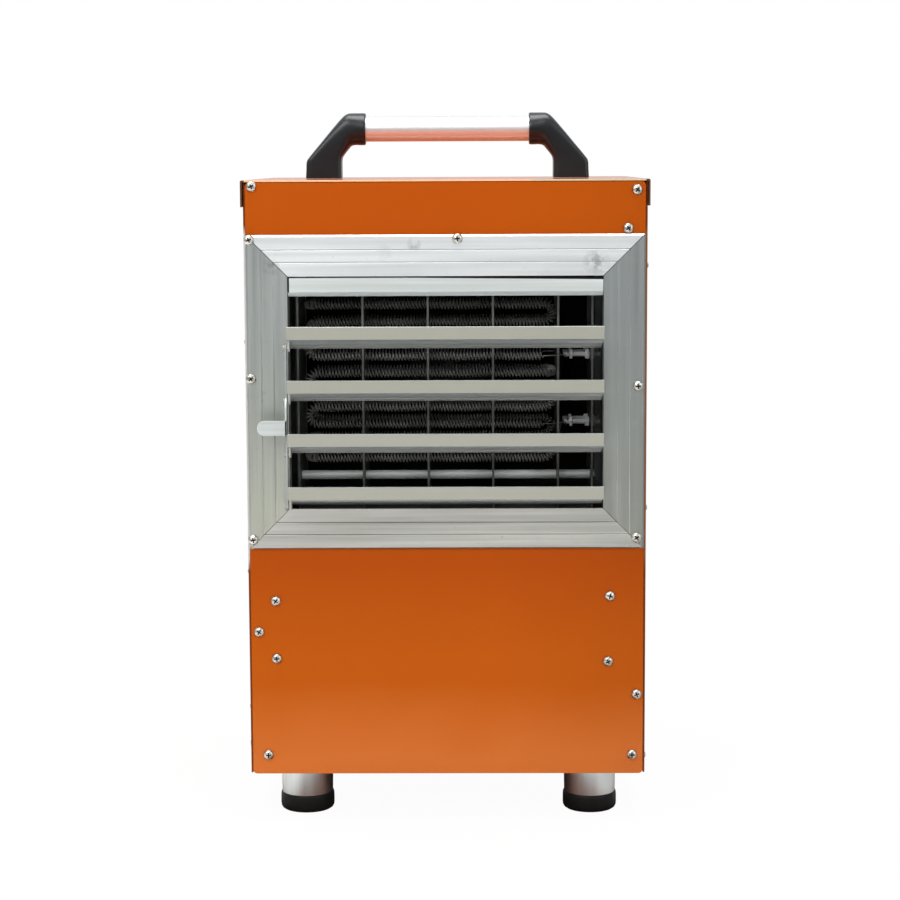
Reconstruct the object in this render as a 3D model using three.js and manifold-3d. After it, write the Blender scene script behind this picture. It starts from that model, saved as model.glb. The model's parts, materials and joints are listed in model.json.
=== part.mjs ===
// Forced air heater: a sheet-metal case on four legs, with a tubular carrying handle, an aluminium
// outlet grille whose four louvres move together, an open-coil element rack in an air duct behind
// it, and an axial fan at the rear. Millimetres, +Z up, the front faces -Y.
import * as THREE from 'three';
import { mergeVertices } from 'three/addons/utils/BufferGeometryUtils.js';
import Module from 'manifold-3d';

const wasm = await Module();
wasm.setup();

// ---------------------------------------------------------------- driving dimensions
const fit = 0.3;                    // clearance between pieces that touch

// Case
const caseWidth = 300;              // front panel, edge to edge
const caseHeight = 455;             // case bottom to the top of the cover
const caseDepth = 290;              // front panel face to rear panel face
const sheet = 1.5;                  // thickness of the case sheet
const trayFlange = 12;              // return flange round the front and rear panels
const panelCorner = 3;              // corner radius of the front and rear panels
const coverFlange = 20;             // side flanges of the top cover
const sideSetback = 3;              // side panel edge behind the front panel face
const postLeg = 20;                 // corner post, an equal angle
const postWall = 2;
const panFlange = 12;

// Legs
const legHeight = 37;               // floor to the case bottom
const legRadiusTop = 20.25;
const legRadiusFoot = 19.75;
const legWall = 2.5;
const legFromSide = 39;             // leg centre from the panel's side edge
const legInset = 38;                // leg centre behind the panel face
const capRadius = 21;
const capHeight = 14;
const capBase = 4;                  // rubber under the leg
const capEdge = 3;                  // rounded lower edge

// Handle
const handleTubeRadius = 10;
const handleTubeWall = 1.5;
const handleAxisHeight = 39.5;      // tube centre above the cover
const handleNoseRadius = 12.8;
const handleNoseReach = 65.8;       // tube shows between plus and minus this
const handleSocketDepth = 15;
const handleArmDepth = 25;          // front to back
// The right bracket's sections below its nose: inner and outer edge as [from the middle, above
// the cover], and a roundness from 2, an ellipse, to 6, nearly a rectangle.
const handleArm = [
  [[78.5, 25.5], [83.5, 51.2], 2.6],
  [[82, 21.5], [92, 41.5], 3.2],
  [[84.5, 18], [103, 27.5], 4],
  [[85.3, 14], [112.3, 16], 5],
  [[85.3, 8], [113.6, 10], 6],
  [[85.3, 0], [114.2, 0], 6],
];
const handleNoseLength = 9;         // before the nose turns down into the arm

// Outlet grille
const grilleTopDrop = 40.7;         // cover top to the frame's top edge
const barWidth = 31.2;
const barProud = 3;                 // frame face in front of the panel
const barEdge = 1.4;                // bevel on the outer edge
const barGrooves = [11.3, 20.6];    // fine grooves, from the outer edge
const grooveWidth = 0.9;
const grooveDepth = 0.6;
const neckWall = 1.5;               // return on the side bars that carries the louvres
const neckDepth = 21;               // from the frame face backwards
const stripHeight = 13.9;           // fixed strip above the louvres
const stripBevel = 3.5;
const stripGap = 1.1;               // slit between the strip and the top bar
const stripDepth = 9;
const stripWall = 1.5;

// Louvres
const louvreCount = 4;
const louvrePitch = 40;
const louvreTopDrop = 36.1;         // top edge of the opening to the first lip's top
const louvreLowRise = 20;           // its lower edge to the last lip's top
const louvreLip = 9.5;              // height of the lip
const louvreWall = 1.5;
const louvreReach = 28;             // lip in front of the panel face
const louvreRear = 15;              // rear edge behind the panel face
const louvreFall = 9.5;             // web drops this much from lip to rear edge
const louvreSag = 0.8;              // crown of the web
const louvreBead = 1.2;             // radius of the rear bead
const louvreGap = 0.8;              // lip end to the side bar
const pivotBehind = 9;              // pivot behind the panel face
const pivotDrop = 14;               // pivot below the lip's top
const pivotRadius = 2;
const pivotBoss = 3.6;
const pivotLength = 3.6;            // pin beyond the louvre's end
const crankForward = 21;            // link pin in front of the pivot
const crankDown = 3;                // and below it
const earWall = 1.2;
const linkPinRadius = 1.5;
const linkPinHead = 2.6;
const linkWall = 1.5;
const linkWidth = 6;
const leverReach = 20.5;            // finger tab beyond the link bar
const leverHeight = 11;
const leverDrop = 59.5;             // first link pin down to the tab's middle
const leverForward = 8;             // tab in front of the link bar's middle
const leverRoot = 22;               // height of the upright web on the link bar

// Air duct and element rack
const ductWall = 1;
const ductBeside = 5.2;             // inside, beyond the grille opening
const ductLength = 130;
const ductBelow = 6;                // inside, below the grille opening
const ductAbove = 4;
const ductFlange = 8;
const rackFront = 28;               // plates' front edge behind the panel face
const rackDepth = 75;
const rackWall = 1.5;
const rackHeight = 172;
const rackSupports = 4;
const rackEndInset = 4.9;           // end plate from the opening's left edge
const rackTerminalInset = 7;        // terminal plate from its right edge
const rackBay = 26.1;               // last support plate to the terminal plate
const rodRadius = 3.5;
const rodBehind = 50;
const rodAbove = 25;                // tie rod above the duct floor
const coilRows = 10;
const coilTopDrop = 14.6;           // plates' top edge to the top row
const coilLowRise = 38.6;           // plates' lower edge to the lowest row
const coilLayers = [45, 90];        // behind the panel face
const coilRadius = 3.3;             // to the wire's middle
const coilWire = 0.7;               // wire radius
const coilCurls = 5;                // curls of one row
const coilEndGap = 9.9;             // left turns from the end plate
const coilBayGap = 3.7;             // right turns from the last support plate
const leadBend = 2.3;               // leads bend this far beyond that plate
const coilHoleClear = 0.4;
const studRadius = 2;
const studNut = 3.6;
const studNutWall = 3.2;
const studReach = 20;               // towards the coils, from the terminal plate
const studTail = 7;
const studRows = [3, 7];            // coil rows that the studs line up with
const studLayers = [60, 82];

// Fan
const fanHeight = 295;              // fan centre above the case bottom
const fanRadius = 94;
const fanTipGap = 3;
const fanRingWall = 1.2;
const fanRingDepth = 42;
const fanRingFlange = 9;
const fanHubRadius = 36;
const fanHubDepth = 34;
const fanHubWall = 3;
const fanBladeCount = 7;
const fanBladeWall = 2.2;
const fanChordRoot = 40;
const fanChordTip = 88;
const fanCamber = 4;
const fanPitchRoot = 38;            // degrees
const fanPitchTip = 22;
const fanBehindGuard = 22;          // hub's open end to the motor plate
const motorRadius = 31;
const motorShaft = 4;
const guardWire = 1.5;              // wire radius
const guardRings = [46, 66, 86, 106];
const guardPlate = 36;
const guardArms = 4;
const guardStandoff = 5;            // wire axis behind the rear panel

// Lower compartment
const shelfBelowDuct = 12;          // shelf's top below the duct's inside
const shelfFlange = 10;
const gearPlateMargin = 16;         // from the panel's side edge
const gearPlateTall = 70;
const gearPlateHeight = 112;        // middle, above the case bottom
const contactorSize = [45, 62, 74];
const contactorX = -58;
const contactorPoles = 3;
const contactorWaist = 0.55;        // share of the height that stands forward
const contactorDeck = 0.7;          // share of the depth at the clamps
const terminalSize = [64, 40, 26];
const terminalX = 36;
const terminalPoles = 4;
const terminalSlot = 0.8;           // half width of the slots between poles
const clampRadius = 3.2;
const clampDepth = 8;

// Controls on the rear panel
const controlHeight = 118;          // above the case bottom
const thermostatX = -62;
const switchX = 62;
const lampX = 0;
const shaftRadius = 3;
const shaftHole = 4.2;
const knobRadius = 20;
const knobDepth = 17;
const knobGrips = 12;
const knobSkirt = 3;
const knobStandoff = 2;
const knobDraft = 3;                // grip inside the skirt
const knobFlute = 1.2;
const knobPointer = 0.8;            // raised above the grip
const shaftEngage = 11;
const thermostatSize = [44, 30, 40];
const switchSize = [46, 52, 46];
const switchPlateSize = 56;
const switchPlateWall = 3;
const switchBarSize = [12, 40];
const lampRadius = 6;
const lampFlange = 8;
const lampLength = 24;
const glandFromSide = 42;           // from the panel's side edge
const glandHeight = 46;             // above the case bottom
const glandThread = 10;
const glandNut = 13.5;
const glandBore = 5.5;
const glandLength = 24;
const glandTail = 12;
const limiterRadius = 8;
const limiterHeight = 9;

// ---------------------------------------------------------------- derived places
const halfWidth = caseWidth / 2;
const caseBottom = legHeight;
const caseTop = caseBottom + caseHeight;
const sideInner = halfWidth + fit;
const sideOuter = sideInner + sheet;
const coverInner = sideOuter + fit;
const coverOuter = coverInner + sheet;
const coverUnder = caseTop - sheet;
const trayTop = coverUnder - fit;
const panUnder = caseBottom + sheet + fit;
const panTop = panUnder + sheet;
const panHalfWidth = halfWidth - sheet - fit;
const panelInner = sheet + fit;                 // first free plane behind a panel
const postOuter = panHalfWidth - sheet - fit;
const grilleWidth = caseWidth;
const grilleOpening = louvreTopDrop + (louvreCount - 1) * louvrePitch + louvreLowRise;
const grilleHeight = grilleOpening + 2 * barWidth;
const grilleTop = caseTop - grilleTopDrop;
const grilleBottom = grilleTop - grilleHeight;
const openingHalf = grilleWidth / 2 - barWidth;
const openingTop = grilleTop - barWidth;
const openingBottom = grilleBottom + barWidth;
const louvreHalf = openingHalf - louvreGap;
const lipTop = (i) => openingTop - louvreTopDrop - i * louvrePitch;
const pivotZ = (i) => lipTop(i) - pivotDrop;
const linkX = -(openingHalf + fit);             // inner face of the link bar
const ductHalfWidth = openingHalf + ductBeside;
const ductFloor = openingBottom - ductBelow;
const ductCeiling = openingTop + ductAbove;
const plateZ = ductFloor + fit;
const rackEndX = rackEndInset - openingHalf;
const rackTerminalX = openingHalf - rackTerminalInset;
const lastPlateX = rackTerminalX - rackBay;
const coilPitch = (rackHeight - coilTopDrop - coilLowRise) / (coilRows - 1);
const rowZ = (row) => plateZ + rackHeight - coilTopDrop - row * coilPitch;
const coilLeft = rackEndX + coilEndGap;
const coilRight = lastPlateX - coilBayGap;
const fanZ = caseBottom + fanHeight;
const ringInner = fanRadius + fanTipGap;
const shelfZ = ductFloor - shelfBelowDuct;
const gearFace = panelInner + postWall + fit;   // plane behind the corner posts

// ---------------------------------------------------------------- materials
const finish = (color, roughness, metalness = 0) =>
  new THREE.MeshStandardMaterial({ color, roughness, metalness });
const orangePaint = finish(0xc2560b, 0.35);
const aluminium = finish(0xb4b8b6, 0.35, 1);
const polishedAluminium = finish(0xd2d6d6, 0.2, 1);
const zincSteel = finish(0x9aa0a0, 0.4, 1);
const darkSteel = finish(0x55585a, 0.5, 0.9);
const heaterWire = finish(0x3a3632, 0.55, 0.8);
const blackPlastic = finish(0x222427, 0.45);
const rubber = finish(0x191b1a, 0.8);
const blackSteel = finish(0x2a2c2e, 0.5, 0.6);
const greyPlastic = finish(0x8d9193, 0.5);
const lampRed = finish(0xb3201a, 0.25);

// ---------------------------------------------------------------- geometry helpers
// A closed mesh with only positions and shared vertices, as the boolean library needs it.
function bare(geometry) {
  const copy = geometry.clone();
  copy.deleteAttribute('normal');
  copy.deleteAttribute('uv');
  return mergeVertices(copy, 1e-4);
}

function signedVolume(geometry) {
  const position = geometry.attributes.position;
  const corner = [0, 1, 2].map(() => new THREE.Vector3());
  let total = 0;
  for (let i = 0; i < geometry.index.count; i += 3) {
    corner.forEach((point, k) => point.fromBufferAttribute(position, geometry.index.getX(i + k)));
    total += corner[0].dot(corner[1].clone().cross(corner[2])) / 6;
  }
  return total;
}

// The same mesh with its faces pointing out, whichever way its profile was drawn.
function facingOut(geometry) {
  const merged = bare(geometry);
  if (signedVolume(merged) < 0) {
    const index = merged.index.array;
    for (let i = 0; i < index.length; i += 3) [index[i], index[i + 1]] = [index[i + 1], index[i]];
  }
  return merged;
}

function toSolid(geometry) {
  const merged = facingOut(geometry);
  return new wasm.Manifold(new wasm.Mesh({
    numProp: 3,
    vertProperties: new Float32Array(merged.attributes.position.array),
    triVerts: new Uint32Array(merged.index.array),
  }));
}

function toGeometry(solid) {
  const mesh = solid.getMesh();
  const geometry = new THREE.BufferGeometry();
  geometry.setAttribute('position', new THREE.BufferAttribute(mesh.vertProperties, 3));
  geometry.setIndex(new THREE.BufferAttribute(mesh.triVerts, 1));
  return geometry;
}

const join = (...geometries) =>
  toGeometry(geometries.map(toSolid).reduce((sum, next) => sum.add(next)));
const cut = (geometry, ...tools) =>
  toGeometry(tools.map(toSolid).reduce((rest, tool) => rest.subtract(tool), toSolid(geometry)));
const common = (a, b) => toGeometry(toSolid(a).intersect(toSolid(b)));

// A block between two corners.
function block([x0, y0, z0], [x1, y1, z1]) {
  return new THREE.BoxGeometry(x1 - x0, y1 - y0, z1 - z0)
    .translate((x0 + x1) / 2, (y0 + y1) / 2, (z0 + z1) / 2);
}

const extrude = (shape, depth, curveSegments = 6) =>
  new THREE.ExtrudeGeometry(shape, { depth, bevelEnabled: false, curveSegments });

// A shape drawn in (x, z), extruded from y = 0 backwards.
const alongY = (shape, depth, curveSegments) =>
  extrude(shape, depth, curveSegments).rotateX(Math.PI / 2).translate(0, depth, 0);

// A shape drawn in (y, z), extruded from x = 0 to the right.
const turnToX = new THREE.Matrix4().set(0, 0, 1, 0, 1, 0, 0, 0, 0, 1, 0, 0, 0, 0, 0, 1);
const alongX = (shape, depth, curveSegments) =>
  extrude(shape, depth, curveSegments).applyMatrix4(turnToX);

function polygon(points) {
  return new THREE.Shape(points.map(([u, v]) => new THREE.Vector2(u, v)));
}

function roundedRect(u0, v0, u1, v1, radius) {
  const shape = new THREE.Shape();
  shape.moveTo(u0 + radius, v0);
  shape.lineTo(u1 - radius, v0);
  shape.absarc(u1 - radius, v0 + radius, radius, -Math.PI / 2, 0);
  shape.lineTo(u1, v1 - radius);
  shape.absarc(u1 - radius, v1 - radius, radius, 0, Math.PI / 2);
  shape.lineTo(u0 + radius, v1);
  shape.absarc(u0 + radius, v1 - radius, radius, Math.PI / 2, Math.PI);
  shape.lineTo(u0, v0 + radius);
  shape.absarc(u0 + radius, v0 + radius, radius, Math.PI, Math.PI * 1.5);
  return shape;
}

// Outline through corners that are each rounded by the same radius.
function roundedOutline(points, radius) {
  const corners = points.map(([u, v]) => new THREE.Vector2(u, v));
  const shape = new THREE.Shape();
  corners.forEach((corner, i) => {
    const before = corners.at(i - 1).clone().sub(corner);
    const after = corners[(i + 1) % corners.length].clone().sub(corner);
    const reach = Math.min(radius, before.length() / 2.2, after.length() / 2.2);
    const start = corner.clone().add(before.setLength(reach));
    const end = corner.clone().add(after.setLength(reach));
    if (i === 0) shape.moveTo(start.x, start.y);
    else shape.lineTo(start.x, start.y);
    shape.quadraticCurveTo(corner.x, corner.y, end.x, end.y);
  });
  shape.closePath();
  return shape;
}

const disc = (u, v, radius) => new THREE.Shape().absarc(u, v, radius, 0, Math.PI * 2);

// Revolved about +Z or about +Y; a profile is a list of [radius, height] pairs.
const revolve = (profile, segments) =>
  facingOut(new THREE.LatheGeometry(profile.map(([r, h]) => new THREE.Vector2(r, h)), segments));
const revolveZ = (profile, segments = 20) => revolve(profile, segments).rotateX(Math.PI / 2);

// Cylinders named by the axis that they lie along, from their lower end.
const rodY = (radius, length, sides = 12) =>
  new THREE.CylinderGeometry(radius, radius, length, sides).translate(0, length / 2, 0);
const rodX = (radius, length, sides = 12) =>
  new THREE.CylinderGeometry(radius, radius, length, sides).rotateZ(-Math.PI / 2)
    .translate(length / 2, 0, 0);

// ---------------------------------------------------------------- assembly
const heater = new THREE.Group();
const section = () => {
  const group = new THREE.Group();
  heater.add(group);
  return group;
};

function piece(parent, name, geometry, material, [x, y, z] = [0, 0, 0]) {
  const mesh = new THREE.Mesh(geometry, material);
  mesh.name = name;
  mesh.position.set(x, y, z);
  parent.add(mesh);
  return mesh;
}

// ---------------------------------------------------------------- case
// A tray of sheet: a face with rounded corners and a return flange all round, open at the back.
function tray(windows) {
  const outer = roundedRect(-halfWidth, caseBottom, halfWidth, trayTop, panelCorner);
  const hollow = roundedRect(-halfWidth + sheet, caseBottom + sheet, halfWidth - sheet,
    trayTop - sheet, panelCorner - sheet);
  return cut(alongY(outer, trayFlange, 3), alongY(hollow, trayFlange, 3).translate(0, sheet, 0), ...windows);
}

function frontPanel() {
  const edge = neckWall + 2 * fit;
  const window = block([-openingHalf - edge, -1, openingBottom - edge],
    [openingHalf + edge, sheet + 1, openingTop + edge]);
  return tray([window]);
}

// Drawn with its outer face at y = 0, as the front panel is, and turned round when it is placed.
function rearPanel() {
  const hole = (x, z, radius, sides) => rodY(radius, sheet + 2, sides).translate(-x, -1, z);
  return tray([
    hole(0, fanZ, ringInner, 32),
    hole(thermostatX, caseBottom + controlHeight, shaftHole, 12),
    hole(switchX, caseBottom + controlHeight, shaftHole, 12),
    hole(lampX, caseBottom + controlHeight, lampRadius + fit, 12),
    hole(halfWidth - glandFromSide, caseBottom + glandHeight, glandThread + fit, 16),
  ]);
}

// One side sheet with a flange turned in below the base pan, between the front and rear trays.
function sidePanel(side) {
  const wall = block([sideInner, sideSetback, caseBottom],
    [sideOuter, caseDepth - sideSetback, coverUnder - fit]);
  const lip = block([halfWidth - trayFlange, trayFlange + fit, caseBottom],
    [sideOuter, caseDepth - trayFlange - fit, caseBottom + sheet]);
  const panel = join(wall, lip);
  return side > 0 ? panel : mirrored(panel);
}

function mirrored(geometry) {
  return facingOut(geometry.clone().scale(-1, 1, 1));
}

function topCover() {
  const section = polygon([
    [-coverOuter, caseTop - coverFlange], [-coverInner, caseTop - coverFlange],
    [-coverInner, coverUnder], [coverInner, coverUnder],
    [coverInner, caseTop - coverFlange], [coverOuter, caseTop - coverFlange],
    [coverOuter, caseTop - sheet / 2], [coverOuter - sheet / 2, caseTop],
    [-coverOuter + sheet / 2, caseTop], [-coverOuter, caseTop - sheet / 2],
  ]);
  return alongY(section, caseDepth);
}

function basePan() {
  const section = polygon([
    [-panHalfWidth, panTop], [-panHalfWidth + sheet, panUnder], [panHalfWidth - sheet, panUnder],
    [panHalfWidth, panTop], [panHalfWidth, panTop + panFlange],
    [panHalfWidth - sheet, panTop + panFlange], [panHalfWidth - sheet, panTop],
    [-panHalfWidth + sheet, panTop], [-panHalfWidth + sheet, panTop + panFlange],
    [-panHalfWidth, panTop + panFlange],
  ]);
  return alongY(section, caseDepth - 2 * panelInner);
}

// An equal angle, drawn for the front right corner: one leg behind the panel, one along the side.
function cornerPost() {
  const section = polygon([
    [0, 0], [0, postLeg], [-postWall, postLeg], [-postWall, postWall], [-postLeg, postWall], [-postLeg, 0],
  ]);
  return extrude(section, trayTop - sheet - panTop - 2 * fit);
}

const casing = section();
piece(casing, 'front_panel', frontPanel(), orangePaint);
piece(casing, 'rear_panel', rearPanel(), orangePaint, [0, caseDepth, 0]).rotation.z = Math.PI;
piece(casing, 'side_panel_left', sidePanel(-1), orangePaint);
piece(casing, 'side_panel_right', sidePanel(1), orangePaint);
piece(casing, 'top_cover', topCover(), orangePaint);
piece(casing, 'base_pan', basePan(), zincSteel, [0, panelInner, 0]);
for (const [end, y, inward] of [['front', panelInner, 1], ['rear', caseDepth - panelInner, -1]]) {
  for (const [name, side] of [['left', -1], ['right', 1]]) {
    const post = facingOut(cornerPost().scale(side, inward, 1));
    piece(casing, `corner_post_${end}_${name}`, post, zincSteel, [side * postOuter, y, panTop + fit]);
  }
}

// ---------------------------------------------------------------- legs
const legTop = panUnder - fit;

// A tube closed by its top disc, which is bolted to the base pan.
function leg() {
  const foot = capBase + fit;
  return revolveZ([
    [0, legTop], [legRadiusTop, legTop], [legRadiusFoot, foot], [legRadiusFoot - legWall, foot],
    [legRadiusTop - legWall, legTop - legWall], [0, legTop - legWall],
  ]);
}

function footCap() {
  const bore = legRadiusFoot + fit;
  const flare = (legRadiusTop - legRadiusFoot) * capHeight / legTop;
  const round = capEdge * (1 - Math.SQRT1_2);
  return revolveZ([
    [0, 0], [capRadius - capEdge, 0], [capRadius - round, round], [capRadius, capEdge],
    [capRadius, capHeight - 1], [capRadius - 0.5, capHeight], [bore + flare, capHeight],
    [bore, capBase], [0, capBase],
  ]);
}

const legs = section();
const legX = halfWidth - legFromSide;
for (const [end, y] of [['front', legInset], ['rear', caseDepth - legInset]]) {
  for (const [name, side] of [['left', -1], ['right', 1]]) {
    piece(legs, `foot_leg_${end}_${name}`, leg(), polishedAluminium, [side * legX, y, 0]);
    piece(legs, `foot_cap_${end}_${name}`, footCap(), rubber, [side * legX, y, 0]);
  }
}

// ---------------------------------------------------------------- handle
const handleZ = caseTop + handleAxisHeight;

// A closed skin over sections that each have the same number of points.
function loft(rings) {
  const count = rings[0].length;
  const index = [];
  for (let i = 0; i + 1 < rings.length; i += 1) {
    for (let k = 0; k < count; k += 1) {
      const a = i * count + k;
      const b = i * count + (k + 1) % count;
      index.push(a, b, a + count, b, b + count, a + count);
    }
  }
  const last = (rings.length - 1) * count;
  for (let k = 1; k < count - 1; k += 1) {
    index.push(0, k + 1, k, last, last + k, last + k + 1);
  }
  const geometry = new THREE.BufferGeometry();
  geometry.setAttribute('position', new THREE.Float32BufferAttribute(rings.flat(2), 3));
  geometry.setIndex(index);
  return facingOut(geometry);
}

// One section of a bracket: a superellipse between its inner and its outer edge.
const bracketSides = 18;

function bracketSection([inner, outer, roundness]) {
  const soft = (value) => Math.sign(value) * Math.abs(value) ** (2 / roundness);
  return Array.from({ length: bracketSides }, (_, k) => {
    const turn = (2 * Math.PI * k) / bracketSides;
    const across = (1 + soft(Math.cos(turn))) / 2;
    return [
      THREE.MathUtils.lerp(inner[0], outer[0], across),
      handleArmDepth / 2 * soft(Math.sin(turn)),
      THREE.MathUtils.lerp(inner[1], outer[1], across),
    ];
  });
}

// The right bracket: a round nose with the tube's socket, which turns down into a broad arm.
function handleBracket(side) {
  const top = handleAxisHeight + handleNoseRadius;
  const low = handleAxisHeight - handleNoseRadius;
  const bend = handleNoseReach + handleNoseLength;
  const nose = [[[handleNoseReach, low], [handleNoseReach, top], 2], [[bend - 1, low], [bend, top], 2.2]];
  const body = loft([...nose, ...handleArm].map(bracketSection));
  const socket = rodX(handleTubeRadius + fit, handleSocketDepth, 24)
    .translate(handleNoseReach - 1, 0, handleAxisHeight);
  const seat = block([0, -handleArmDepth, -fit], [2 * handleNoseReach, handleArmDepth, fit]);
  const bracket = cut(body, socket, seat);
  return side > 0 ? bracket : mirrored(bracket);
}

function handleTube() {
  const ring = disc(0, 0, handleTubeRadius);
  ring.holes.push(disc(0, 0, handleTubeRadius - handleTubeWall));
  const half = handleNoseReach + handleSocketDepth - 1 - fit;
  return alongX(ring, 2 * half, 12).translate(-half, 0, 0);
}

const handle = section();
handle.position.set(0, caseDepth / 2, caseTop);
piece(handle, 'handle_bracket_left', handleBracket(-1), blackPlastic);
piece(handle, 'handle_bracket_right', handleBracket(1), blackPlastic);
piece(handle, 'handle_tube', handleTube(), polishedAluminium, [0, 0, handleAxisHeight]);

// ---------------------------------------------------------------- outlet grille
// Frame section drawn as [distance in from the outer edge, y]: a flat bar that stands proud of
// the panel, with a bevelled edge and two fine grooves. The side bars also turn back at their
// inner edge, and that neck carries the louvres.
function barSection(neck) {
  const face = -barProud;
  const groove = barGrooves.flatMap((d) => [
    [d - grooveWidth / 2, face], [d, face + grooveDepth], [d + grooveWidth / 2, face],
  ]);
  const inner = neck
    ? [[barWidth, face], [barWidth, face + neckDepth], [barWidth - neckWall, face + neckDepth],
      [barWidth - neckWall, -fit]]
    : [[barWidth, face], [barWidth, -fit]];
  return polygon([[0, -fit], [0, face + barEdge], [barEdge, face], ...groove, ...inner]);
}

// A bar whose ends are mitred: a point that lies d in from the outer edge ends d short of it.
function mitredBar(length, neck) {
  const bar = extrude(barSection(neck), 1);
  const position = bar.attributes.position;
  for (let i = 0; i < position.count; i += 1) {
    const half = length / 2 - fit / 2 - position.getX(i);
    position.setZ(i, position.getZ(i) > 0.5 ? half : -half);
  }
  return bare(bar);
}

const alongBarX = new THREE.Matrix4().set(0, 0, 1, 0, 0, 1, 0, 0, -1, 0, 0, 0, 0, 0, 0, 1);

function sideBar(side) {
  const bar = mitredBar(grilleHeight, true).translate(-grilleWidth / 2, 0, (grilleTop + grilleBottom) / 2);
  const holes = Array.from({ length: louvreCount }, (_, i) =>
    rodX(pivotRadius + fit, 4 * neckWall).translate(-openingHalf - 2 * neckWall, pivotBehind, pivotZ(i)));
  const drilled = cut(bar, ...holes);
  return side < 0 ? drilled : mirrored(drilled);
}

function levelBar(side) {
  const bar = mitredBar(grilleWidth, false).applyMatrix4(alongBarX);
  const z = side > 0 ? grilleTop : grilleBottom;
  return facingOut(bar.scale(1, 1, side)).translate(0, 0, z);
}

// The fixed strip above the louvres: an angle with a bevelled lower edge.
function fillerStrip() {
  const top = openingTop - stripGap;
  const low = top - stripHeight;
  const face = -barProud;
  const section = polygon([
    [face, top], [face, low + stripBevel], [face + stripBevel, low], [face + stripBevel + stripWall, low],
    [face + stripWall, low + stripBevel + stripWall / 2], [face + stripWall, top - stripWall],
    [face + stripDepth, top - stripWall], [face + stripDepth, top],
  ]);
  const half = openingHalf - fit;
  return alongX(section, 2 * half).translate(-half, 0, 0);
}

const grille = section();
piece(grille, 'grille_bar_top', levelBar(1), aluminium);
piece(grille, 'grille_bar_bottom', levelBar(-1), aluminium);
piece(grille, 'grille_bar_left', sideBar(-1), aluminium);
piece(grille, 'grille_bar_right', sideBar(1), aluminium);
piece(grille, 'grille_filler_strip', fillerStrip(), aluminium);

// ---------------------------------------------------------------- louvres
// Louvre section in (y, z) from its pivot: an upright lip in front, a crowned web that falls
// backwards, a beaded rear edge, and a boss on the web that holds the pivot pins.
const lipY = -louvreReach - pivotBehind;
const lipZ = pivotDrop;
const webY = (t) => lipY + t * (louvreReach + louvreRear);
const webZ = (t) => lipZ - louvreLip - t * louvreFall + louvreSag * Math.sin(Math.PI * t);
const webSteps = 5;

function louvreSection() {
  const ramp = Array.from({ length: webSteps + 1 }, (_, k) => k / webSteps);
  const under = ramp.map((t) => [webY(t), webZ(t)]);
  const over = ramp.slice(1).reverse().map((t) => [webY(t), webZ(t) + louvreWall]);
  return polygon([
    [lipY, lipZ - 0.4], ...under, ...over, [lipY + louvreWall, lipZ - louvreLip + louvreWall],
    [lipY + louvreWall, lipZ - 0.4], [lipY + louvreWall / 2, lipZ],
  ]);
}

// Plate at the louvre's left end that reaches down to the link pin.
function louvreEar() {
  const pin = [-crankForward, -crankDown];
  const root = (pin[0] - lipY) / (louvreReach + louvreRear);
  const span = 0.16;
  const plate = roundedOutline([
    [webY(root - span), webZ(root - span) + louvreWall / 2],
    [pin[0] - linkPinHead, pin[1] - linkPinHead], [pin[0] + linkPinHead, pin[1] - linkPinHead],
    [webY(root + span), webZ(root + span) + louvreWall / 2],
  ], linkPinHead);
  return alongX(plate, earWall, 3).translate(-louvreHalf, 0, 0);
}

function louvre() {
  const length = 2 * louvreHalf;
  const web = alongX(louvreSection(), length).translate(-louvreHalf, 0, 0);
  const bossSeat = (pivotBehind + louvreReach) / (louvreReach + louvreRear);
  const boss = join(
    rodX(pivotBoss, length, 8),
    block([0, -pivotBoss / 2, webZ(bossSeat)], [length, pivotBoss / 2, 0]),
  ).translate(-louvreHalf, 0, 0);
  const bead = rodX(louvreBead, length, 6).translate(-louvreHalf, webY(1), webZ(1) + louvreWall / 2);
  const pins = rodX(pivotRadius, length + 2 * pivotLength, 8).translate(-louvreHalf - pivotLength, 0, 0);
  const crank = [-crankForward, -crankDown];
  const pinEnd = linkX - linkWall - fit - 1;
  const linkPin = rodX(linkPinRadius, -louvreHalf - pinEnd + earWall / 2, 8).translate(pinEnd, ...crank);
  const head = rodX(linkPinHead, 1, 10).translate(pinEnd, ...crank);
  return join(web, boss, bead, pins, louvreEar(), linkPin, head);
}

// The upright bar that joins the louvres. A web reaches forward from it, and its front edge is
// bent out to the left as a finger tab.
function linkBar() {
  const topPin = pivotZ(0) - crankDown;
  const lowPin = pivotZ(louvreCount - 1) - crankDown;
  const round = linkWidth / 2;
  const outline = new THREE.Shape();
  outline.absarc(0, topPin, round, 0, Math.PI);
  outline.absarc(0, lowPin, round, Math.PI, 2 * Math.PI);
  const holes = Array.from({ length: louvreCount }, (_, i) =>
    rodX(linkPinRadius + fit, 4 * linkWall).translate(-2 * linkWall, 0, pivotZ(i) - crankDown));
  const bar = cut(alongX(outline, linkWall, 5).translate(-linkWall, 0, 0), ...holes);
  const tabZ = topPin - leverDrop;
  const half = leverHeight / 2;
  const webTop = tabZ - half + leverRoot + leverForward - round;
  const web = alongX(polygon([
    [1 - round, tabZ - half], [1 - round, webTop], [-round, webTop], [-leverForward, tabZ - half + leverRoot],
    [-leverForward, tabZ - half],
  ]), linkWall).translate(-linkWall, 0, 0);
  const tip = new THREE.Shape();
  tip.moveTo(0, tabZ - half);
  tip.lineTo(0, tabZ + half);
  tip.lineTo(half - leverReach, tabZ + half);
  tip.absarc(half - leverReach, tabZ, half, Math.PI / 2, Math.PI * 1.5);
  const tab = alongY(tip, linkWall, 5).translate(0, -leverForward, 0);
  return join(bar, web, tab);
}

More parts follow.
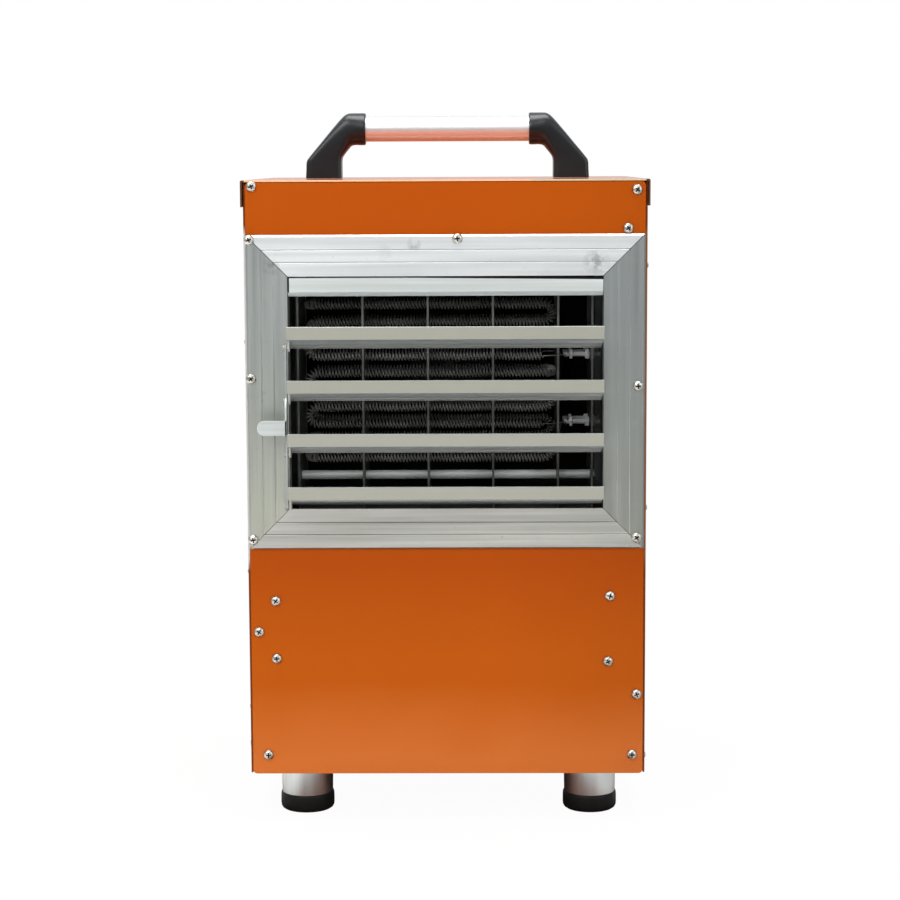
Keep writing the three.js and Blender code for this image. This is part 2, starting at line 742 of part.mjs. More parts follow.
const louvres = section();
for (let i = 0; i < louvreCount; i += 1) {
  piece(louvres, `louvre_blade_${i + 1}`, louvre(), aluminium, [0, pivotBehind, pivotZ(i)]);
}
piece(louvres, 'louvre_link_bar', linkBar(), aluminium, [linkX, pivotBehind - crankForward, 0]);

// ---------------------------------------------------------------- air duct and element rack
// A rectangular sleeve behind the outlet, flanged above and below against the front panel.
function airDuct() {
  const length = ductLength;
  const outer = block([-ductHalfWidth - ductWall, 0, ductFloor - ductWall],
    [ductHalfWidth + ductWall, length, ductCeiling + ductWall]);
  const flange = block([-ductHalfWidth - ductWall, 0, ductFloor - ductFlange],
    [ductHalfWidth + ductWall, ductWall, ductCeiling + ductFlange]);
  const bore = block([-ductHalfWidth, -1, ductFloor], [ductHalfWidth, length + 1, ductCeiling]);
  return cut(join(outer, flange), bore);
}

// A hole in a rack plate is drawn with a few sides, each of which clears the given radius.
const drillSides = 6;

// A plate of the rack, standing on the duct floor. The support plates are drilled for the coils,
// the terminal plate for the studs, and all of them for the tie rod.
function rackPlate(drilling) {
  const sheetPlate = polygon([
    [0, 0], [rackDepth, 0], [rackDepth, rackHeight], [0, rackHeight],
  ]);
  const rod = [rodBehind - rackFront, rodAbove - fit, rodRadius + fit];
  for (const [y, z, radius] of [rod, ...drilling]) {
    const hole = new THREE.Path();
    hole.absarc(y, z, radius / Math.cos(Math.PI / drillSides), 0, Math.PI * 2);
    sheetPlate.holes.push(hole);
  }
  return alongX(sheetPlate, rackWall, drillSides / 2).translate(-rackWall / 2, 0, 0);
}

const coilHoles = coilLayers.flatMap((y) => Array.from({ length: coilRows }, (_, row) =>
  [y - rackFront, rowZ(row) - plateZ, coilRadius + coilWire + coilHoleClear]));
const studHoles = studRows.flatMap((row) => studLayers.map((y) =>
  [y - rackFront, rowZ(row) - plateZ, studRadius + fit]));

const outlet = section();
piece(outlet, 'air_duct', airDuct(), zincSteel, [0, panelInner, 0]);
piece(outlet, 'rack_end_plate', rackPlate([]), darkSteel, [rackEndX, rackFront, plateZ]);
for (let i = 1; i <= rackSupports; i += 1) {
  const x = THREE.MathUtils.lerp(rackEndX, lastPlateX, i / rackSupports);
  piece(outlet, `rack_support_plate_${i}`, rackPlate(coilHoles), darkSteel, [x, rackFront, plateZ]);
}
piece(outlet, 'rack_terminal_plate', rackPlate(studHoles), darkSteel, [rackTerminalX, rackFront, plateZ]);
const rodHalfLength = rackTerminalX + 2 * rackWall;
piece(outlet, 'rack_tie_rod', rodX(rodRadius, 2 * rodHalfLength, 16), zincSteel,
  [-rodHalfLength, rodBehind, plateZ + rodAbove - fit]);

// One unbroken tube of wire through a list of points, closed at both ends.
function wireThrough(points, radius, sides) {
  const count = points.length;
  const tangent = points.map((point, i) =>
    points[Math.min(i + 1, count - 1)].clone().sub(points[Math.max(i - 1, 0)]).normalize());
  let across = new THREE.Vector3(0, 1, 0);
  const positions = [];
  points.forEach((point, i) => {
    across = across.addScaledVector(tangent[i], -across.dot(tangent[i])).normalize();
    const up = tangent[i].clone().cross(across);
    for (let k = 0; k < sides; k += 1) {
      const turn = (2 * Math.PI * k) / sides;
      const rim = point.clone().addScaledVector(across, radius * Math.cos(turn))
        .addScaledVector(up, radius * Math.sin(turn));
      positions.push(rim.x, rim.y, rim.z);
    }
  });
  const index = [];
  for (let i = 0; i < count - 1; i += 1) {
    for (let k = 0; k < sides; k += 1) {
      const a = i * sides + k;
      const b = i * sides + (k + 1) % sides;
      index.push(a, b, a + sides, b, b + sides, a + sides);
    }
  }
  const last = (count - 1) * sides;
  for (let k = 1; k < sides - 1; k += 1) {
    index.push(0, k + 1, k, last, last + k, last + k + 1);
  }
  const geometry = new THREE.BufferGeometry();
  geometry.setAttribute('position', new THREE.Float32BufferAttribute(positions, 3));
  geometry.setIndex(index);
  return facingOut(geometry);
}

// The lead from a stud's tip to the right end of a row, through the last support plate.
function coilLead(row, [studRow, studLayer]) {
  const tip = rackTerminalX - rackWall / 2 - studReach - fit - coilWire;
  const through = new THREE.Vector3(lastPlateX + leadBend, coilLayers[0], rowZ(row));
  const stud = new THREE.Vector3(tip, studLayer, rowZ(studRow));
  const between = new THREE.Vector3(tip, studLayer, (through.z + stud.z) / 2);
  return row === studRow ? [stud, through] : [stud, between, through];
}

// The middle line of a coil that runs to and fro along some rows of the front layer: curls along
// each row, a plain half turn from one row down or up to the next, and a lead to a stud at both
// ends.
const curlSteps = 8;

function coilLine({ rows, studs }) {
  const y = coilLayers[0];
  const line = coilLead(rows[0], studs[0]);
  rows.forEach((row, n) => {
    const leftward = n % 2 === 0;
    const [from, to] = leftward ? [coilRight, coilLeft] : [coilLeft, coilRight];
    const steps = coilCurls * curlSteps;
    const z = rowZ(row);
    line.push(new THREE.Vector3(from, y, z));
    for (let k = 1; k < steps; k += 1) {
      const t = k / steps;
      const swell = Math.min(1, 12 * t, 12 * (1 - t));
      const turn = (2 * Math.PI * k) / curlSteps;
      line.push(new THREE.Vector3(THREE.MathUtils.lerp(from, to, t),
        y + swell * coilRadius * Math.sin(turn), z + swell * coilRadius * Math.cos(turn)));
    }
    line.push(new THREE.Vector3(to, y, z));
    if (n < rows.length - 1) {
      const reach = coilPitch / 2 * (leftward ? -1 : 1);
      const next = rowZ(rows[n + 1]);
      for (const angle of [45, 90, 135]) {
        const turn = THREE.MathUtils.degToRad(angle);
        line.push(new THREE.Vector3(to + reach * Math.sin(turn), y,
          THREE.MathUtils.lerp(z, next, (1 - Math.cos(turn)) / 2)));
      }
    }
  });
  line.push(...coilLead(rows.at(-1), studs[1]).reverse());
  return line;
}

// Least gap between two stretches of one wire that aren't neighbours along it.
function leastGap(line, radius) {
  const near = curlSteps / 2;
  let least = Infinity;
  for (let i = 0; i < line.length; i += 1) {
    for (let j = i + near; j < line.length; j += 1) {
      least = Math.min(least, line[i].distanceTo(line[j]) - 2 * radius);
    }
  }
  return least;
}

const [nearLayer, farLayer] = studLayers;
const [upperStud, lowerStud] = studRows;
const coilRuns = {
  heating_coil_upper: { rows: [3, 2, 1, 0], studs: [[upperStud, nearLayer], [upperStud, farLayer]] },
  heating_coil_lower: { rows: [4, 5, 6, 7, 8, 9], studs: [[lowerStud, nearLayer], [lowerStud, farLayer]] },
};
for (const [name, run] of Object.entries(coilRuns)) {
  const line = coilLine(run);
  piece(outlet, name, wireThrough(line, coilWire, 5), heaterWire);
  console.log(`${name}: least gap of the wire to itself ${leastGap(line, coilWire).toFixed(2)} mm`);
}

// A threaded stud through the terminal plate with a nut on the coils' side.
function terminalStud() {
  const bolt = rodX(studRadius, studReach + studTail + rackWall, 8).translate(-studReach, 0, 0);
  const nut = rodX(studNut, studNutWall, 6).translate(-studNutWall - fit, 0, 0);
  return join(bolt, nut);
}

const studPlaces = studRows.flatMap((row) => studLayers.map((y) => [y, rowZ(row)]));
studPlaces.forEach(([y, z], i) => {
  piece(outlet, `terminal_stud_${i + 1}`, terminalStud(), zincSteel, [rackTerminalX - rackWall / 2, y, z]);
});

// A bimetal cut-out on the duct's roof.
function limiter() {
  const body = revolveZ([[0, 0], [limiterRadius, 0], [limiterRadius, 2], [limiterRadius - 2, 2],
    [limiterRadius - 2, limiterHeight], [0, limiterHeight]], 12);
  const tab = block([-limiterRadius - 4, -limiterRadius / 2, 0], [limiterRadius + 4, limiterRadius / 2, 1]);
  const blade = (x) => block([x - 0.4, -3, limiterHeight - 1], [x + 0.4, 3, limiterHeight + 6]);
  return join(body, tab, blade(-3), blade(3));
}

piece(outlet, 'overheat_thermostat', limiter(), blackPlastic,
  [0, ductLength / 2, ductCeiling + ductWall + fit]);

// ---------------------------------------------------------------- fan
// The fan is drawn about the Y axis with the rear panel's inner face at y = 0, and sits in front.
function fanRing() {
  const reach = -fanRingDepth;
  const outer = ringInner + fanRingWall;
  return revolve([
    [ringInner, 0], [ringInner, reach], [ringInner + 3, reach - 2], [outer + 3, reach - 1],
    [outer, reach + 2], [outer, -fanRingWall], [ringInner + fanRingFlange, -fanRingWall],
    [ringInner + fanRingFlange, 0], [ringInner, 0],
  ], 32);
}

// Wire rings on four radial arms round the motor's plate, bent in to the rear panel at the rim.
function fanGuard() {
  const ring = (radius) => new THREE.TorusGeometry(radius, guardWire, 4, 24).rotateX(Math.PI / 2);
  const arms = Array.from({ length: guardArms }, (_, k) => {
    const tip = guardRings.at(-1);
    const foot = rodY(guardWire, guardStandoff, 4).translate(tip, -guardStandoff, 0);
    return join(rodX(guardWire, tip, 4), foot).rotateY(Math.PI / 4 + (2 * Math.PI * k) / guardArms);
  });
  const plate = rodY(guardPlate, 2 * guardWire, 24).translate(0, -guardWire, 0);
  return join(plate, ...guardRings.map(ring), ...arms);
}

const rearInner = caseDepth - sheet;
const guardY = caseDepth + fit + guardStandoff;
const motorSeat = guardY - guardWire - fit;
const hubOpen = rearInner - fanBehindGuard;
const hubFront = hubOpen - fanHubDepth;

// The stator: a stepped body on the guard's plate, with the shaft that carries the rotor.
function fanMotor() {
  const seat = motorSeat - hubFront;
  const innerFront = fanHubWall + 2;
  return revolve([
    [0, innerFront - fanHubWall], [motorShaft, innerFront - fanHubWall], [motorShaft, innerFront + 3],
    [motorRadius, innerFront + 3], [motorRadius, seat - 6], [motorRadius + 3, seat - 4],
    [motorRadius + 3, seat], [0, seat],
  ], 24);
}

// One pitched blade as a warped slab: x runs out along the blade, y and z follow its chord.
function fanBlade() {
  const root = fanHubRadius - fanHubWall / 2;
  const span = fanRadius - root;
  const blade = new THREE.BoxGeometry(1, 1, 1, 3, 1, 4);
  const position = blade.attributes.position;
  for (let i = 0; i < position.count; i += 1) {
    const out = position.getX(i) + 0.5;
    const along = position.getZ(i);
    const radius = root + out * span;
    const pitch = THREE.MathUtils.degToRad(THREE.MathUtils.lerp(fanPitchRoot, fanPitchTip, out));
    const chord = THREE.MathUtils.lerp(fanChordRoot, fanChordTip, out) * along;
    const camber = fanCamber * (1 - 4 * along * along);
    const turn = (chord * Math.cos(pitch)) / radius;
    position.setXYZ(i, radius * Math.cos(turn),
      chord * Math.sin(pitch) + camber + position.getY(i) * fanBladeWall, radius * Math.sin(turn));
  }
  return blade.translate(0, fanHubDepth / 2, 0);
}

function fanRotor() {
  const inner = fanHubRadius - fanHubWall;
  const hub = revolve([
    [motorShaft + fit, 0], [fanHubRadius - 3, 0], [fanHubRadius, 3], [fanHubRadius, fanHubDepth],
    [inner, fanHubDepth], [inner, fanHubWall], [motorShaft + fit, fanHubWall], [motorShaft + fit, 0],
  ], 30);
  const core = rodY(inner, fanHubDepth * 2, 30);
  const blades = Array.from({ length: fanBladeCount }, (_, k) =>
    cut(fanBlade(), core).rotateY((2 * Math.PI * k) / fanBladeCount));
  return join(hub, ...blades);
}

const fan = section();
fan.position.z = fanZ;
piece(fan, 'fan_ring', fanRing(), blackSteel, [0, rearInner - fit, 0]);
piece(fan, 'fan_guard', fanGuard(), blackSteel, [0, guardY, 0]);
piece(fan, 'fan_motor', fanMotor(), darkSteel, [0, hubFront, 0]);
piece(fan, 'fan_rotor', fanRotor(), blackPlastic, [0, hubFront, 0]);

// ---------------------------------------------------------------- lower compartment
function dividerShelf() {
  const half = postOuter - postWall - fit;
  const section = polygon([
    [-half, -shelfFlange], [-half + sheet, -shelfFlange], [-half + sheet, -sheet], [half - sheet, -sheet],
    [half - sheet, -shelfFlange], [half, -shelfFlange], [half, 0], [-half, 0],
  ]);
  return alongY(section, caseDepth - 2 * gearFace);
}

// Power relay: a body with a raised waist, and a row of clamp pockets above and below it.
function contactor() {
  const [width, depth, height] = contactorSize;
  const waist = height * contactorWaist;
  const deck = depth * contactorDeck;
  const body = block([-width / 2, 0, -height / 2], [width / 2, deck, height / 2]);
  const half = (width - clampDepth) / 2;
  const front = block([-half, 0, -waist / 2], [half, depth, waist / 2]);
  const pockets = [-1, 1].flatMap((end) => Array.from({ length: contactorPoles }, (_, k) =>
    rodY(clampRadius, depth, 8)
      .translate((k - 1) * width / contactorPoles, deck - clampDepth, end * (height / 2 - clampDepth))));
  return cut(join(body, front), ...pockets.map((pocket) => common(pocket, body)));
}

function terminalBlock() {
  const [width, depth, height] = terminalSize;
  const pitch = width / terminalPoles;
  const body = block([-width / 2, 0, -height / 2], [width / 2, depth, height / 2]);
  const slots = Array.from({ length: terminalPoles - 1 }, (_, k) => {
    const middle = (k + 1) * pitch - width / 2;
    return block([middle - terminalSlot, depth - clampDepth, -height],
      [middle + terminalSlot, depth + 1, height]);
  });
  const screws = Array.from({ length: terminalPoles }, (_, k) =>
    rodY(clampRadius, depth, 8).translate((k + 0.5) * pitch - width / 2, depth - clampDepth, 0));
  return cut(body, ...slots, ...screws);
}

const lower = section();
piece(lower, 'divider_shelf', dividerShelf(), zincSteel, [0, gearFace, shelfZ]);
const gearHalfWidth = halfWidth - gearPlateMargin;
const gearZ = caseBottom + gearPlateHeight;
const gearPlate = block([-gearHalfWidth, 0, -gearPlateTall / 2], [gearHalfWidth, sheet, gearPlateTall / 2]);
piece(lower, 'gear_plate', gearPlate, zincSteel, [0, gearFace, gearZ]);
const gearSeat = gearFace + sheet + fit;
piece(lower, 'contactor', contactor(), greyPlastic, [contactorX, gearSeat, gearZ]);
piece(lower, 'terminal_block', terminalBlock(), greyPlastic, [terminalX, gearSeat, gearZ]);

// ---------------------------------------------------------------- controls on the rear
const controlZ = caseBottom + controlHeight;
const bodySeat = rearInner - fit;

// A control's body inside the panel, with its bush and its shaft through the panel to the knob.
function controlBody([width, depth, height]) {
  const reach = fit + sheet + knobStandoff + knobSkirt + shaftEngage - fit;
  const body = block([-width / 2, -depth, -height / 2], [width / 2, 0, height / 2]);
  const bush = rodY(shaftHole - fit, sheet + fit + 1, 12);
  const shaft = rodY(shaftRadius, reach, 12);
  return join(body, bush, shaft);
}

// A knob with a grip that is fluted round its rim, on a plain skirt, bored from behind.
function thermostatKnob() {
  const skirt = rodY(knobRadius, knobSkirt, 30);
  const grip = new THREE.Shape();
  const flutes = knobGrips * 4;
  for (let k = 0; k < flutes; k += 1) {
    const turn = (2 * Math.PI * k) / flutes;
    const radius = knobRadius - knobDraft - (k % 4 === 0 ? knobFlute : 0);
    grip[k === 0 ? 'moveTo' : 'lineTo'](radius * Math.cos(turn), radius * Math.sin(turn));
  }
  const body = alongY(grip, knobDepth - knobSkirt).translate(0, knobSkirt, 0);
  const pointer = block([-1, knobDepth - 1, 2], [1, knobDepth + knobPointer, knobRadius - knobDraft - 1]);
  const bore = rodY(shaftRadius + fit, knobSkirt + shaftEngage + 1, 12).translate(0, -1, 0);
  return cut(join(skirt, body, pointer), bore);
}

// A bar knob on a round boss.
function switchKnob() {
  const [width, length] = switchBarSize;
  const boss = rodY(length / 2 - 2, 6, 26);
  const outline = roundedRect(-width / 2, -length / 2, width / 2, length / 2, width / 2 - 0.5);
  const bar = alongY(outline, knobDepth - 4, 3).translate(0, 4, 0);
  const bore = rodY(shaftRadius + fit, knobSkirt + shaftEngage + 1, 12).translate(0, -1, 0);
  return cut(join(boss, bar), bore);
}

// The lamp passes through the panel: a domed lens with a flange outside and a threaded stem.
function pilotLamp() {
  const outside = sheet + fit;
  return revolve([
    [0, -lampLength], [lampRadius - 1, -lampLength], [lampRadius, 2 - lampLength], [lampRadius, outside],
    [lampFlange, outside], [lampFlange, outside + 1.5], [lampRadius - 0.5, outside + 2.5],
    [lampRadius / 2, outside + 5], [0, outside + 6],
  ], 14);
}

// The cable gland: a threaded stem through the panel, a hexagon outside it and a domed nut.
function cableGland() {
  const outside = sheet + fit;
  const stem = rodY(glandThread, glandTail + outside + 1, 16).translate(0, -glandTail, 0);
  const hexagon = rodY(glandNut, 6, 6).translate(0, outside, 0);
  const dome = revolve([
    [0, outside + 5], [glandThread + 1.5, outside + 5], [glandThread + 1.5, glandLength - 5],
    [glandBore + 2, glandLength], [0, glandLength],
  ], 18);
  const bore = rodY(glandBore, 2 * (glandLength + glandTail), 12).translate(0, -glandTail - 1, 0);
  return cut(join(stem, hexagon, dome), bore);
}

const controls = section();
const knobY = caseDepth + knobStandoff;
piece(controls, 'thermostat_body', controlBody(thermostatSize), greyPlastic,
  [thermostatX, bodySeat, controlZ]);
piece(controls, 'thermostat_knob', thermostatKnob(), blackPlastic, [thermostatX, knobY, controlZ]);
piece(controls, 'switch_body', controlBody(switchSize), greyPlastic, [switchX, bodySeat, controlZ]);
piece(controls, 'switch_knob', switchKnob(), blackPlastic, [switchX, knobY, controlZ]);
piece(controls, 'pilot_lamp', pilotLamp(), lampRed, [lampX, bodySeat, controlZ]);
piece(controls, 'cable_gland', cableGland(), blackPlastic,
  [halfWidth - glandFromSide, bodySeat, caseBottom + glandHeight]);

// The origin is at the bottom centre of the whole heater.
const frontMost = -louvreReach;
const rearMost = Math.max(knobY + knobDepth + knobPointer, rearInner - fit + glandLength);
const model = new THREE.Group();
heater.position.y = -(frontMost + rearMost) / 2;
model.add(heater);

export default model;
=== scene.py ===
"""Looks of the forced air heater: materials, fine pieces, camera and light round the fixed frame."""
import json
import math
import random

import bpy
import numpy as np
from mathutils import Matrix, Vector


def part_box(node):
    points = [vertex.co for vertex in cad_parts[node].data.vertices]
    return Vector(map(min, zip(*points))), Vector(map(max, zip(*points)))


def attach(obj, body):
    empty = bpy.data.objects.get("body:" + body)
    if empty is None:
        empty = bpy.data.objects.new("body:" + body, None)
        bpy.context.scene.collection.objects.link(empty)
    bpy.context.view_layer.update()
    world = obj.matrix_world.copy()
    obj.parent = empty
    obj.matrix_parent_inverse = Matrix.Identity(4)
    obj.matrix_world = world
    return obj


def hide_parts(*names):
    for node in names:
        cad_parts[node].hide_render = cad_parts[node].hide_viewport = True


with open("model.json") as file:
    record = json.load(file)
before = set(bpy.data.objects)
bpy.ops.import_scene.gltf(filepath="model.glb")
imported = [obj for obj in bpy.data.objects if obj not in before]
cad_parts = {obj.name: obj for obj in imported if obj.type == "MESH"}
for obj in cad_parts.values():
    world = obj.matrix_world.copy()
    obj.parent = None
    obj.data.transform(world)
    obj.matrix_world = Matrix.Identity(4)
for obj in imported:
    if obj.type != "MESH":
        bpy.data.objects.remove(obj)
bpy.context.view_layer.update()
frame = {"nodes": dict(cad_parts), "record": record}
nodes = frame["nodes"]

MM = 0.001
FRONT = -142.1                 # front panel face, mm
BODY = "heater_body"

# The inside of the case, m: orange faces within these limits are painted near black as shade.
INSIDE_X = (-0.1504, 0.1504)
INSIDE_Y = (-0.1408, 0.1466)
INSIDE_Z = (0.0383, 0.4909)
SHEET_EDGE_Y = -0.1375         # the case sheets' front edges lie before this, m
RACK_EDGE_Y = -0.1136          # the rack plates' front edges lie before this, m

# ---------------- camera
CAMERA_AT = (24.6, -1739.2 + FRONT, 505.9)
CAMERA_LENS = 92.5
CAMERA_PITCH = 7.129
CAMERA_YAW = -0.716
CAMERA_ROLL = -0.258


def make_camera():
    pitch, yaw, roll = (math.radians(a) for a in (CAMERA_PITCH, CAMERA_YAW, CAMERA_ROLL))
    forward = Vector((math.sin(yaw) * math.cos(pitch), math.cos(yaw) * math.cos(pitch), -math.sin(pitch)))
    level = Vector((math.cos(yaw), -math.sin(yaw), 0))
    upright = level.cross(forward)
    right = math.cos(roll) * level + math.sin(roll) * upright
    up = -math.sin(roll) * level + math.cos(roll) * upright
    data = bpy.data.cameras.new("camera")
    data.sensor_width = 36
    data.lens = CAMERA_LENS
    data.clip_start, data.clip_end = 0.05, 50
    camera = linked("camera", data)
    turn = Matrix((right, up, -forward)).transposed().to_4x4()
    camera.matrix_world = Matrix.Translation(Vector(CAMERA_AT) * MM) @ turn
    bpy.context.scene.camera = camera


# ---------------- node trees
class Nodes:
    """Makes and links the nodes of one shader tree."""

    def __init__(self, tree):
        self.tree = tree
        tree.nodes.clear()

    def feed(self, socket, value):
        """Links a socket to an input, or writes a number, a vector or an RGB colour into it."""
        if isinstance(value, bpy.types.NodeSocket):
            self.tree.links.new(value, socket)
        elif isinstance(value, tuple) and socket.type == "RGBA":
            socket.default_value = (*value, 1)
        else:
            socket.default_value = value

    def node(self, kind, values=None, **settings):
        """A node with its settings, and with the values or sockets of its inputs."""
        made = self.tree.nodes.new("ShaderNode" + kind)
        for key, value in settings.items():
            setattr(made, key, value)
        for key, value in (values or {}).items():
            self.feed(made.inputs[key], value)
        return made

    def ramp(self, value, low, high, start=0.0, end=1.0):
        """Maps low..high of a value to start..end, held at the ends."""
        return self.node("MapRange", {"Value": value, "From Min": low, "From Max": high,
                                      "To Min": start, "To Max": end}).outputs[0]

    def maths(self, operation, a, b=0.0):
        return self.node("Math", {0: a, 1: b}, operation=operation).outputs[0]

    def mix(self, share, a, b, blend="MIX"):
        """Mixes colour a with colour b; a and b are sockets or RGB."""
        return self.node("Mix", {0: share, 6: a, 7: b}, data_type="RGBA", blend_type=blend).outputs[2]

    def mix_shader(self, share, a, b):
        return self.node("MixShader", {0: share, 1: a, 2: b}).outputs[0]


class Tree(Nodes):
    """A material with its node tree."""

    def __init__(self, name):
        self.material = bpy.data.materials.new(name)
        self.material.use_nodes = True
        super().__init__(self.material.node_tree)
        self.output = self.node("OutputMaterial")
        self.shader = self.node("BsdfPrincipled")
        self.feed(self.output.inputs[0], self.shader.outputs[0])
        coordinates = self.node("TexCoord").outputs
        self.place, self.normal = coordinates["Object"], coordinates["Normal"]

    def noise(self, scale, detail=3, rough=0.55, stretch=(1, 1, 1), seed=0.0):
        """Noise in 0..1 over the place in metres, stretched along the axes."""
        moved = self.node("Mapping", {"Vector": self.place, "Location": (seed, seed * 0.7, seed * 1.3),
                                      "Scale": tuple(s * scale for s in stretch)})
        return self.node("TexNoise", {"Vector": moved.outputs[0], "Scale": 1.0, "Detail": detail,
                                      "Roughness": rough}).outputs[0]

    def split(self):
        return self.node("SeparateXYZ", {0: self.place}).outputs

    def inside(self):
        """1 within the closed case and behind its panels, 0 on everything that shows from outside."""
        x, y, z = self.split()
        share = None
        for value, low, high in ((x, *INSIDE_X), (y, *INSIDE_Y), (z, *INSIDE_Z)):
            for operation, limit in (("GREATER_THAN", low), ("LESS_THAN", high)):
                test = self.maths(operation, value, limit)
                share = test if share is None else self.maths("MULTIPLY", share, test)
        return share

    def cut_edge(self):
        """1 on the front edges of the sheets beside the front panel."""
        x, y, _ = self.split()
        beside = self.maths("GREATER_THAN", self.maths("ABSOLUTE", x), INSIDE_X[1])
        return self.maths("MULTIPLY", beside, self.maths("LESS_THAN", y, SHEET_EDGE_Y))

    def bump(self, height, strength, distance):
        made = self.node("Bump", {"Height": height, "Strength": strength, "Distance": distance})
        self.set(Normal=made.outputs[0])

    def set(self, **values):
        for key, value in values.items():
            self.feed(self.shader.inputs[key.replace("_", " ")], value)


# Orange paint tones: the mid-height tone is painted shade and the low tone a painted reflection of the floor;
# the inside tone and the two edge tones are painted shade.
PAINT = (0.455, 0.087, 0.0035)
PAINT_MIDDLE_SHADE = (0.395, 0.064, 0.0026)
PAINT_HIGH = (0.485, 0.090, 0.0022)
PAINT_DEEP = (0.435, 0.073, 0.0030)
PAINT_FLOOR_REFLECTION = (0.560, 0.142, 0.0260)
PAINT_DUST = (0.58, 0.150, 0.030)
PAINT_INSIDE_SHADE = (0.030, 0.020, 0.014)
PAINT_CUT_SHADE = (0.22, 0.050, 0.012)
COVER_CUT_SHADE = (0.10, 0.035, 0.015)
COVER_FOLD_Y, COVER_FOLD_Z = -0.1405, 0.4908      # the cover's front fold, which gets a painted highlight, m


def orange_paint(name, specular, rough, cut, fold_highlight=False):
    """Orange powder coat, clouded and dusty; darker at mid height and to the right as painted shade, lighter
    near the floor as a painted floor reflection, with its side sheets' front edges painted dark as shade,
    bare grey in part beside the frame, and inner faces painted near black as shade.
    """
    t = Tree(name)
    x, y, z = t.split()
    base = t.mix(t.ramp(t.noise(2.2, 2, seed=7.7), 0.42, 0.72), PAINT_DEEP, PAINT_HIGH)
    # Painted shade: darker at mid height.
    base = t.mix(t.ramp(z, 0.40, 0.47, 1.0, 0.0), base, PAINT_MIDDLE_SHADE)
    base = t.mix(t.ramp(z, 0.13, 0.20, 1.0, 0.0), base, PAINT)
    # Painted reflection of the floor: lighter near it, with a wavy edge.
    wavy = t.maths("ADD", z, t.maths("MULTIPLY", t.noise(7, 2, seed=5.2), 0.05))
    base = t.mix(t.ramp(wavy, 0.075, 0.135, 1.0, 0.0), base, PAINT_FLOOR_REFLECTION)
    base = t.mix(t.ramp(t.noise(38, 4, 0.7, seed=3.3), 0.66, 0.80, 0.0, 0.10), base, PAINT_DUST)
    # Painted shade: darker towards the right.
    base = t.mix(t.ramp(x, 0.04, 0.145), base, (0.88, 0.87, 0.90), "MULTIPLY")
    # Inner faces painted near black as shade.
    base = t.mix(t.inside(), base, PAINT_INSIDE_SHADE)
    # Painted highlight along the cover's front fold, peach on the left and greyer on the right.
    if fold_highlight:
        above, before = t.maths("GREATER_THAN", z, COVER_FOLD_Z), t.maths("LESS_THAN", y, COVER_FOLD_Y)
        tone = t.mix(t.ramp(x, 0.062, 0.070), (0.86, 0.50, 0.27), (0.56, 0.50, 0.33))
        base = t.mix(t.maths("MULTIPLY", above, before), base, tone)
    # The side sheets' front edges are painted dark as shade; beside the frame they are shade-brown on the
    # left and bare grey on the right.
    beside_frame = t.maths("MULTIPLY", t.ramp(z, 0.195, 0.205), t.ramp(z, 0.452, 0.458, 1.0, 0.0))
    bare_and_shaded_edge = t.mix(t.maths("LESS_THAN", x, 0.0), (0.30, 0.13, 0.05), (0.66, 0.65, 0.63))
    base = t.mix(t.cut_edge(), base, t.mix(beside_frame, cut, bare_and_shaded_edge))
    t.set(Base_Color=base, Metallic=0.0, Specular_IOR_Level=specular)
    t.set(Roughness=t.ramp(t.noise(60, 3, seed=4), 0.3, 0.7, *rough))
    t.bump(t.noise(900, 1, 0.5), 0.05, 0.0006)
    return t.material


OXIDE = (0.45, 0.42, 0.36)


def metal(name, low, high, along, rough=(0.3, 0.42), streaks=260, length=5, grime=0.12, seed=0.0,
          metallic=1.0, marks_and_shade=None):
    """Bare metal with fine streaks along one axis (0, 1 or 2) and cloudy oxide; the last argument adds a
    piece's own marks and painted shade.
    """
    t = Tree(name)
    stretch = [streaks] * 3
    stretch[along] = length
    broad_stretch = [s * 0.22 if i != along else s * 0.8 for i, s in enumerate(stretch)]
    fine = t.noise(1, 2, 0.6, stretch, seed)
    broad = t.noise(1, 2, 0.5, broad_stretch, seed + 3)
    cloud = t.noise(14, 3, 0.6, seed=seed + 5)
    streak = t.maths("ADD", t.maths("MULTIPLY", fine, 0.55), t.maths("MULTIPLY", broad, 0.45))
    base = t.mix(t.ramp(streak, 0.35, 0.65), low, high)
    base = t.mix(t.ramp(cloud, 0.52, 0.78, 0.0, grime), base, OXIDE)
    if marks_and_shade:
        base = marks_and_shade(t, base)
    t.set(Base_Color=base, Metallic=metallic)
    t.set(Roughness=t.ramp(t.maths("ADD", streak, t.maths("MULTIPLY", cloud, 0.3)), 0.4, 0.9, *rough))
    t.bump(fine, 0.06, 0.0004)
    return t.material


BAR_SUNK_Y = -0.14495                             # the frame bars' grooves lie behind this, m
BAR_SUNK_X, BAR_SUNK_Z = 0.1468, (0.2092, 0.4483)   # and within the frame's rim, m
# Smudges on the frame: x, z and reach, m.
SMUDGE_Y = -0.145
SMUDGES = [(0.113, 0.4305, 0.011), (-0.0236, 0.4437, 0.006), (-0.131, 0.4275, 0.008), (-0.139, 0.330, 0.005)]


